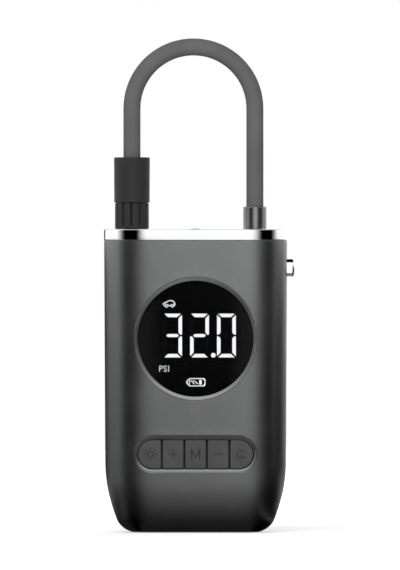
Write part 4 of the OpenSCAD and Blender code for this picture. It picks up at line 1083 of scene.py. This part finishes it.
def turn_sign():
    """An open ring with an arrow head."""
    radius, start = 1.55, 65
    turn = math.radians(start)
    tip = radius * Vector((math.cos(turn), math.sin(turn)))
    head = [tip + corner for corner in as_points((0.9, -0.3), (-0.1, 0.85), (-0.25, -0.6))]
    return arc_band(0, 0, radius, 0.56, start, 345, 28) + [head]


# %% Keys
KEY_EDGE, CROWN = 0.35, 0.05
SIGN_T, SIGN_SUNK, SIGN_RISE = 0.02, 0.005, 0.05
KEY_PITCH, KEY_FLANGE = 9.2, 0.9
FOOT_T = 0.8
KEY_BACK_Y = node_box("key_mode")[1].y - FOOT_T
KEY_FOOT = 0.3  # a thin foot round each key, which closes the view through the grooves


def key_rings(low, high, first, last, profile):
    """Rings of a key: the same box outline at each inset and depth of the profile. The end keys are
    rounded like the opening's ends."""
    end_r, soft = (high.z - low.z) / 2 - 1e-3, 0.5
    right, left = end_r if last else soft, end_r if first else soft
    rings = []
    for inset, depth in profile:
        radii = [max(0.02, r + inset) for r in (right, left, left, right)]
        sides = (low.x - inset, high.x + inset, low.z - inset, high.z + inset)
        path = box_path(*sides, radii, round_corner(14), 4)
        rings.append([(p.x, depth, p.y) for p, _ in path])
    return rings


def key_face_box(node_name, first, last):
    """Where the visible face of a key lies: the node's box without its hidden flange."""
    low, high = node_box(node_name)
    low += Vector((KEY_FLANGE * first, 0, KEY_FLANGE))
    high -= Vector((KEY_FLANGE * last, 0, KEY_FLANGE))
    return low, high


KEYS = [
    ("key_light", sun_sign), ("key_plus", plus_sign), ("key_mode", mode_sign),
    ("key_minus", minus_sign), ("key_unit", turn_sign),
]
for index, (node_name, sign) in enumerate(KEYS):
    first, last = index == 0, index == len(KEYS) - 1
    low, high = key_face_box(node_name, first, last)
    face_y = low.y
    profile = soften(
        [
            (KEY_FOOT, KEY_BACK_Y + FOOT_T), (KEY_FOOT, KEY_BACK_Y), (0, KEY_BACK_Y),
            (0, face_y + 0.12), (-KEY_EDGE, face_y + CROWN), (-1.2, face_y),
        ],
        0.25, steps=5,
    )
    bm = bmesh.new()
    ringed = add_grid(bm, key_rings(low, high, first, last, profile))
    bm.faces.new(ringed[0])
    bm.faces.new(ringed[-1])
    at_key = facing_front((index - len(KEYS) // 2) * KEY_PITCH, KEY_Z + SIGN_RISE)
    flat(sign(), face_y + SIGN_SUNK, face_y - SIGN_T, at_key, bm=bm, material=1)
    make_piece(node_name + "_cap", bm, node_name, node_name, "key_print")

# %% [markdown]
# ## The chuck, the ferrule and the post
# The chuck's collar is a turned sleeve with a rounded shoulder. Its nut is fluted for the fingers,
# so it is built from rings: at each height one whose radius dips at every flute. The ferrule is a
# polished sleeve with softly broken edges.

# %% Collar
collar_low, collar_high = node_box("chuck_collar")
COLLAR_R = (collar_high.x - collar_low.x) / 2
SLEEVE_BORE = HOSE_R + 0.06
collar_profile = soften(
    [
        (0, collar_low.z), (COLLAR_R - 0.1, collar_low.z, 0.35), (COLLAR_R, collar_high.z, 0.6),
        (SLEEVE_BORE, collar_high.z, 0.3), (SLEEVE_BORE, collar_high.z - 4),
    ],
    0.3, steps=8,
)
collar_bm = lathe(collar_profile, standing(park_x))
collar = make_piece("chuck_sleeve", collar_bm, "chuck_collar", "hose_assembly")

# %% Fluted nut
nut_low, nut_high = node_box("chuck_nut")
NUT_R = (nut_high.x - nut_low.x) / 2
FLUTES, FLUTE_HALF, FLUTE_DEPTH, FLUTE_TURN = 12, 3.6, 1.15, -1.5
PER_FLUTE = 30
EVEN_RUN, RUN_STEPS = 3, 8  # a run longer than this is split, so that the flutes can fade in
BORE_R, BORE_DEPTH = 3.9, 7.0
nut_turns = [360 * i / (FLUTES * PER_FLUTE) for i in range(FLUTES * PER_FLUTE)]


def nut_ring(radius, height, depth=0.0):
    """A ring of the nut: round, with a dip of some depth at each flute."""
    ring = []
    for turn in nut_turns:
        off = (turn - FLUTE_TURN + 180 / FLUTES) % (360 / FLUTES) - 180 / FLUTES
        dip = 0
        if abs(off) < FLUTE_HALF:
            dip = depth * math.cos(math.radians(90 * off / FLUTE_HALF)) ** 0.5
        r, a = radius - dip, math.radians(turn - 90)
        ring.append((park_x + r * math.cos(a), r * math.sin(a), height))
    return ring


nut_side = soften(
    [(-0.5, nut_low.z), (0, nut_low.z + 0.3), (0, nut_high.z - 0.3), (-0.5, nut_high.z)], 0.3
)
sides = [nut_side[0]]
for a, b in zip(nut_side, nut_side[1:]):
    steps = RUN_STEPS if (b - a).length > EVEN_RUN else 1
    sides += [a.lerp(b, k / steps) for k in range(1, steps + 1)]
nut_rings = []
for outset, height in sides:
    depth = FLUTE_DEPTH * min(1.0, max(0.0, (height - nut_low.z - 0.5) / 0.7))
    nut_rings.append(nut_ring(NUT_R + outset, height, depth))
nut_bm = bmesh.new()
made = add_grid(nut_bm, nut_rings)
bore = add_grid(nut_bm, [
    nut_ring(BORE_R + 0.3, nut_low.z), nut_ring(BORE_R, nut_low.z + 0.3),
    nut_ring(BORE_R, nut_low.z + BORE_DEPTH), nut_ring(0.01, nut_low.z + BORE_DEPTH),
])
for i in range(len(nut_turns)):
    j = (i + 1) % len(nut_turns)
    nut_bm.faces.new((made[0][i], made[0][j], bore[0][j], bore[0][i]))
nut_bm.faces.new(made[-1])
nut = make_piece("fluted_nut", nut_bm, "chuck_nut", "chuck_nut")

# %% Ferrule
ferrule_low, ferrule_high = node_box("hose_ferrule")
FERRULE_R = (ferrule_high.x - ferrule_low.x) / 2
FERRULE_BORE = 3.06
ferrule_profile = soften(
    [
        (FERRULE_BORE, ferrule_low.z + 2), (FERRULE_BORE, ferrule_low.z, 0.1),
        (FERRULE_R, ferrule_low.z, 0.3), (FERRULE_R, ferrule_high.z, 0.45),
        (SLEEVE_BORE, ferrule_high.z, 0.2), (SLEEVE_BORE, ferrule_high.z - 3),
    ],
    0.2, steps=6,
)
ferrule_bm = lathe(ferrule_profile, standing(outlet_x), open_ends=True)
make_piece("hose_sleeve", ferrule_bm, "hose_ferrule", "hose_assembly")

# %% Hose finish and body
hose_curve.materials.append(FINISHES["hose_rubber"])
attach(hose, "hose_assembly")
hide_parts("hose")
print("the hose is declared with", len(spline.bezier_points), "points")

# %% [markdown]
# ## The studio
# The product stands on a pale floor in soft white light from all round, and the floor keeps its
# shadow. White alone would leave a satin body flat and polished plating lost against the ground, so
# dark cards stand round it, and others lie on the floor and hang above. Only reflections see them:
# as the soft dark bands on the body's corners, its dark foot and the black blocks on the plating.
# Without them the same body is an even, lighter grey.

# %% World
WORLD_FILL, GLOSS_LIFT = 0.25, 0.1
SEEING_RAYS = ("Is Camera Ray", "Is Glossy Ray", "Is Transmission Ray")


def largest(tree, sockets):
    """The largest of some sockets."""
    found = sockets[0]
    for socket in sockets[1:]:
        found = calculate(tree, "MAXIMUM", found, socket)
    return found


world = bpy.data.worlds.new("studio")
world.use_nodes = True
scene.world = world
tree = world.node_tree
rays = node(tree, "LightPath").outputs
strength = mapped(tree, largest(tree, [rays[k] for k in SEEING_RAYS]), (0, 1), (WORLD_FILL, 1))
lifted = calculate(tree, "MULTIPLY_ADD", rays["Is Glossy Ray"], GLOSS_LIFT, strength)
feed(tree, tree.nodes["Background"], Color=(1, 1, 1, 1), Strength=lifted)
scene.view_settings.view_transform = "Standard"
print("world: white where it is seen,", WORLD_FILL, "as fill light")


# %% Lamps
def area_lamp(name, location, target, size, watts):
    """A soft square lamp that looks at a point and stays out of reflections."""
    data = bpy.data.lights.new(name, "AREA")
    data.shape = "SQUARE"
    data.size = size
    data.energy = watts
    lamp = bpy.data.objects.new(name, data)
    lamp.location = location
    lamp.rotation_euler = (Vector(target) - Vector(location)).to_track_quat("-Z", "Y").to_euler()
    lamp.visible_glossy = False
    scene.collection.objects.link(lamp)


LAMP_SIZE, LAMP_AIM = 0.9, (0, 0, 0.1)
area_lamp("key_lamp", (-0.2, -1.5, 1.0), LAMP_AIM, LAMP_SIZE, 23.0)
area_lamp("back_lamp", (0.3, 1.2, 1.3), LAMP_AIM, LAMP_SIZE, 8.0)
print("two soft lamps of", LAMP_SIZE, "m")


# %% Dark cards
CARD_STEPS = 16


def card_material(name, darkness, fades):
    """Black and clear, mixed by the darkness. It fades in from the left, right, lower and upper rim
    over the shares of the card that fades gives."""
    material, tree = new_material(name)
    tree.nodes.remove(tree.nodes["Principled BSDF"])
    along = node(tree, "SeparateXYZ", Vector=place(tree, "UV")).outputs
    amount = darkness
    for axis, rim, share in zip("XXYY", (0, 1, 0, 1), fades):
        if share:
            curve = "SMOOTHSTEP" if share < 1 else "LINEAR"
            fade = mapped(tree, along[axis], (rim, abs(rim - share)), interpolation=curve)
            amount = calculate(tree, "MULTIPLY", fade, amount)
    mix = node(tree, "MixShader", Fac=amount)
    plug(tree, mix.inputs[1], node(tree, "BsdfTransparent").outputs["BSDF"])
    plug(tree, mix.inputs[2], node(tree, "Emission", Color=(0, 0, 0, 1)).outputs["Emission"])
    feed(tree, tree.nodes["Material Output"], Surface=mix.outputs["Shader"])
    return material


def card(name, place_at, darkness, fades):
    """A dark card that only reflections see. place_at gives the point at each share of its width and
    height."""
    bm = bmesh.new()
    shares = [k / CARD_STEPS for k in range(CARD_STEPS + 1)]
    grid = [[bm.verts.new(place_at(u, v)) for u in shares] for v in shares]
    uv = bm.loops.layers.uv.new("card")
    for j in range(CARD_STEPS):
        for i in range(CARD_STEPS):
            turns = ((i, j), (i + 1, j), (i + 1, j + 1), (i, j + 1))
            face = bm.faces.new([grid[row][column] for column, row in turns])
            for loop, (column, row) in zip(face.loops, turns):
                loop[uv].uv = (shares[column], shares[row])
    obj = add_mesh(name, bm)
    obj.data.materials.append(card_material(name, darkness, fades))
    for rays_of in ("camera", "diffuse", "shadow", "transmission"):
        setattr(obj, "visible_" + rays_of, False)


def between(pair, share):
    """The value at a share of the way between two."""
    return pair[0] + (pair[1] - pair[0]) * share


def fan(name, bearings, reach, heights, darkness, fades, middle=(0.0, 0.0)):
    """A card between two bearings, in degrees from the camera's side towards +X. reach is the pair
    of its distances from the middle, or gives that pair for a bearing. With one distance and two
    heights it is a curved upright card."""
    def place_at(u, v):
        turn = math.radians(between(bearings, u))
        r = between(reach(turn) if callable(reach) else reach, v)
        return (middle[0] + r * math.sin(turn), middle[1] - r * math.cos(turn), between(heights, v))

    card(name, place_at, darkness, fades)


def level_card(name, xs, ys, z, darkness, fades):
    """A card that lies flat."""
    card(name, lambda u, v: (between(xs, u), between(ys, v), z), darkness, fades)


# %% Upright cards
FAR, NEAR = 0.8, 0.25
LEFT_BAND, LEFT_FADES = (-84, -5), (0.46, 0.19)
RIGHT_BAND, RIGHT_FADES = (13, 103), (0.26, 0.42)
SIDE_BAND, SIDE_FADES = (-165, -55), (0.1, 0.3)
TALL = (-0.3, 0.9)
COAT = (-0.02, 0.119)  # low enough to be out of the polished plate's sight
for name, bearings, distance, heights, darkness, fades in (
    ("card_left", LEFT_BAND, FAR, TALL, 1.0, (*LEFT_FADES, 0, 0.3)),
    ("card_right", RIGHT_BAND, FAR, TALL, 1.0, (*RIGHT_FADES, 0, 0.5)),
    ("card_edge", (-184, -150), FAR, TALL, 1.0, (0, 0.4, 0, 0)),
    ("coat_left", (-36, 4), NEAR, COAT, 0.45, (0.5, 0.5, 0, 0)),
    ("coat_right", (72, 166), NEAR, COAT, 0.92, (0.2, 0.6, 0, 0)),
    ("coat_side", SIDE_BAND, NEAR, COAT, 0.5, (*SIDE_FADES, 0, 0)),
    ("coat_edge", (-184, -112), NEAR, COAT, 1.0, (0, 0.55, 0, 0)),
):
    fan(name, bearings, (distance, distance), heights, darkness, fades)
print("upright cards stand", FAR, "and", NEAR, "m away")

# %% [markdown]
# The dark bands go on over the floor, so that the belly, which looks down, carries them too. Round
# the product the floor is shaded, deepest at its base, and a low collar of cards darkens towards the
# floor. On the right a narrow slit stays open from the product outwards. The button's polished barrel
# looks along it, and two patches in the slit draw the dark lines on its underside.

# %% Cards on the floor
# Each card lies a little above the last, because two at one height would flicker into each other.
SIDE_Z, LEFT_Z, RIGHT_Z, SHADE_Z, BASE_Z, LINE_Z, CONTACT_Z = (
    z * MM for z in (0.25, 0.3, 0.35, 0.1, 0.2, 0.4, 0.45)
)
FAN_X, FAN_Y = 0.022, -0.01
SIDE_FAN_X = -0.03
SLIT_LEFT, SLIT_RIGHT = 0.0379, 0.0418


def up_to(x):
    """How far the right fan reaches at a bearing before it meets a line of constant X."""
    return lambda turn: min(FAR, (x - FAN_X) / math.sin(turn))


before_slit, after_slit = up_to(SLIT_LEFT), up_to(SLIT_RIGHT)
RIGHT_FAN, RIGHT_FAN_FADES = (8, 168), (0.25, 0.5, 0, 0)
for name, bearings, reach, z, darkness, fades, middle in (
    ("floor_left", LEFT_BAND, (0, FAR), LEFT_Z, 0.93, (*LEFT_FADES, 0, 0),
     (-FAN_X, FAN_Y)),
    ("floor_side", SIDE_BAND, (0, NEAR), SIDE_Z, 0.5, (*SIDE_FADES, 0, 0),
     (SIDE_FAN_X, 0)),
    ("floor_right_inner", RIGHT_FAN, lambda t: (0, before_slit(t)), RIGHT_Z, 0.95,
     RIGHT_FAN_FADES, (FAN_X, FAN_Y)),
    ("floor_right_outer", RIGHT_FAN, lambda t: (after_slit(t), FAR), RIGHT_Z, 0.95,
     RIGHT_FAN_FADES, (FAN_X, FAN_Y)),
):
    fan(name, bearings, reach, (z, z), darkness, fades, middle)

COLLAR_HEIGHTS, COLLAR_DARKNESS = (-0.02, 0.125), 0.8
slit_start, slit_end = (math.degrees(math.asin(x / NEAR)) for x in (SLIT_LEFT, SLIT_RIGHT))
for i, bearings in enumerate([(-180, slit_start), (slit_end, 180)]):
    name = "card_collar_%d" % i
    fan(name, bearings, (NEAR, NEAR), COLLAR_HEIGHTS, COLLAR_DARKNESS, (0, 0, 0, 1))

SHADE, BASE_SHADE, BASE_SPAN = 0.48, 0.87, 0.15
for name, xs, side_fades, base_fades in (
    ("left", (-1, 0), (0.1, 0), (0.6, 0)), ("middle", (0, SLIT_LEFT), (0, 0), (0, 0)),
    ("right", (SLIT_RIGHT, 1), (0, 0.1), (0, 0.6)),
):
    for prefix, span, z, darkness, fades in (
        ("shade_", NEAR, SHADE_Z, SHADE, (*side_fades, 0.1, 0.1)),
        ("base_shade_", BASE_SPAN, BASE_Z, BASE_SHADE, (*base_fades, 0.5, 0.5)),
    ):
        reached = [max(-span, min(span, x)) for x in xs]
        level_card(prefix + name, reached, (-span, span), z, darkness, fades)

LINE_RIGHT, LINE_FADES = 0.05, (0, 0.05, 0.15, 0.15)
for name, xs, ys, z, darkness, fades in (
    ("contact_shade", (-0.05, SLIT_LEFT), (-0.052, 0.052), CONTACT_Z, 0.6, (0.2, 0, 0.2, 0.2)),
    ("card_above_button", (-0.05, 0.7), (-0.14, 1.0), 0.6, 1.0, (0.08, 0.6, 0.09, 0.05)),
    ("button_line_far", (SLIT_LEFT, LINE_RIGHT), (-0.75, -0.5), LINE_Z, 0.5, LINE_FADES),
    ("button_line_near", (SLIT_LEFT, LINE_RIGHT), (-0.068, 0.1), LINE_Z, 0.84, LINE_FADES),
):
    level_card(name, xs, ys, z, darkness, fades)
print("floor cards lie", SHADE_Z, "to", CONTACT_Z, "m above the ground")

# %% Floor
FLOOR_SIZE = 6.0
FLOOR_Z = -0.1 * MM
GLOSS_GLOW = 0.8  # what polished faces see
VIEW_GLOW = 0.48  # by the product, where lamp light adds the rest up to white
CALM = (0.12, 0.5)  # distances over which the floor turns plain white
half = FLOOR_SIZE / 2
floor_bm = bmesh.new()
floor_corners = ((half, half), (-half, half), (-half, -half), (half, -half))
floor_bm.faces.new([floor_bm.verts.new((x, y, 0)) for x, y in floor_corners])
floor = add_mesh("floor", floor_bm)
floor.location.z = FLOOR_Z
material, tree = new_material("floor")
rays = node(tree, "LightPath").outputs
away = calculate(tree, "LENGTH", place(tree), kind="VectorMath")
view_glow = mapped(tree, away, CALM, (VIEW_GLOW, 1.0))
glows = [
    calculate(tree, "MULTIPLY", rays[ray], glow)
    for ray, glow in zip(SEEING_RAYS, (view_glow, GLOSS_GLOW, GLOSS_GLOW))
]
feed(
    tree, tree.nodes["Principled BSDF"], Base_Color=(0.8, 0.8, 0.8, 1), Roughness=0.9,
    Specular_IOR_Level=0.0, Emission_Color=(1, 1, 1, 1), Emission_Strength=largest(tree, glows),
)
floor.data.materials.append(material)
print("floor:", FLOOR_SIZE, "m square")
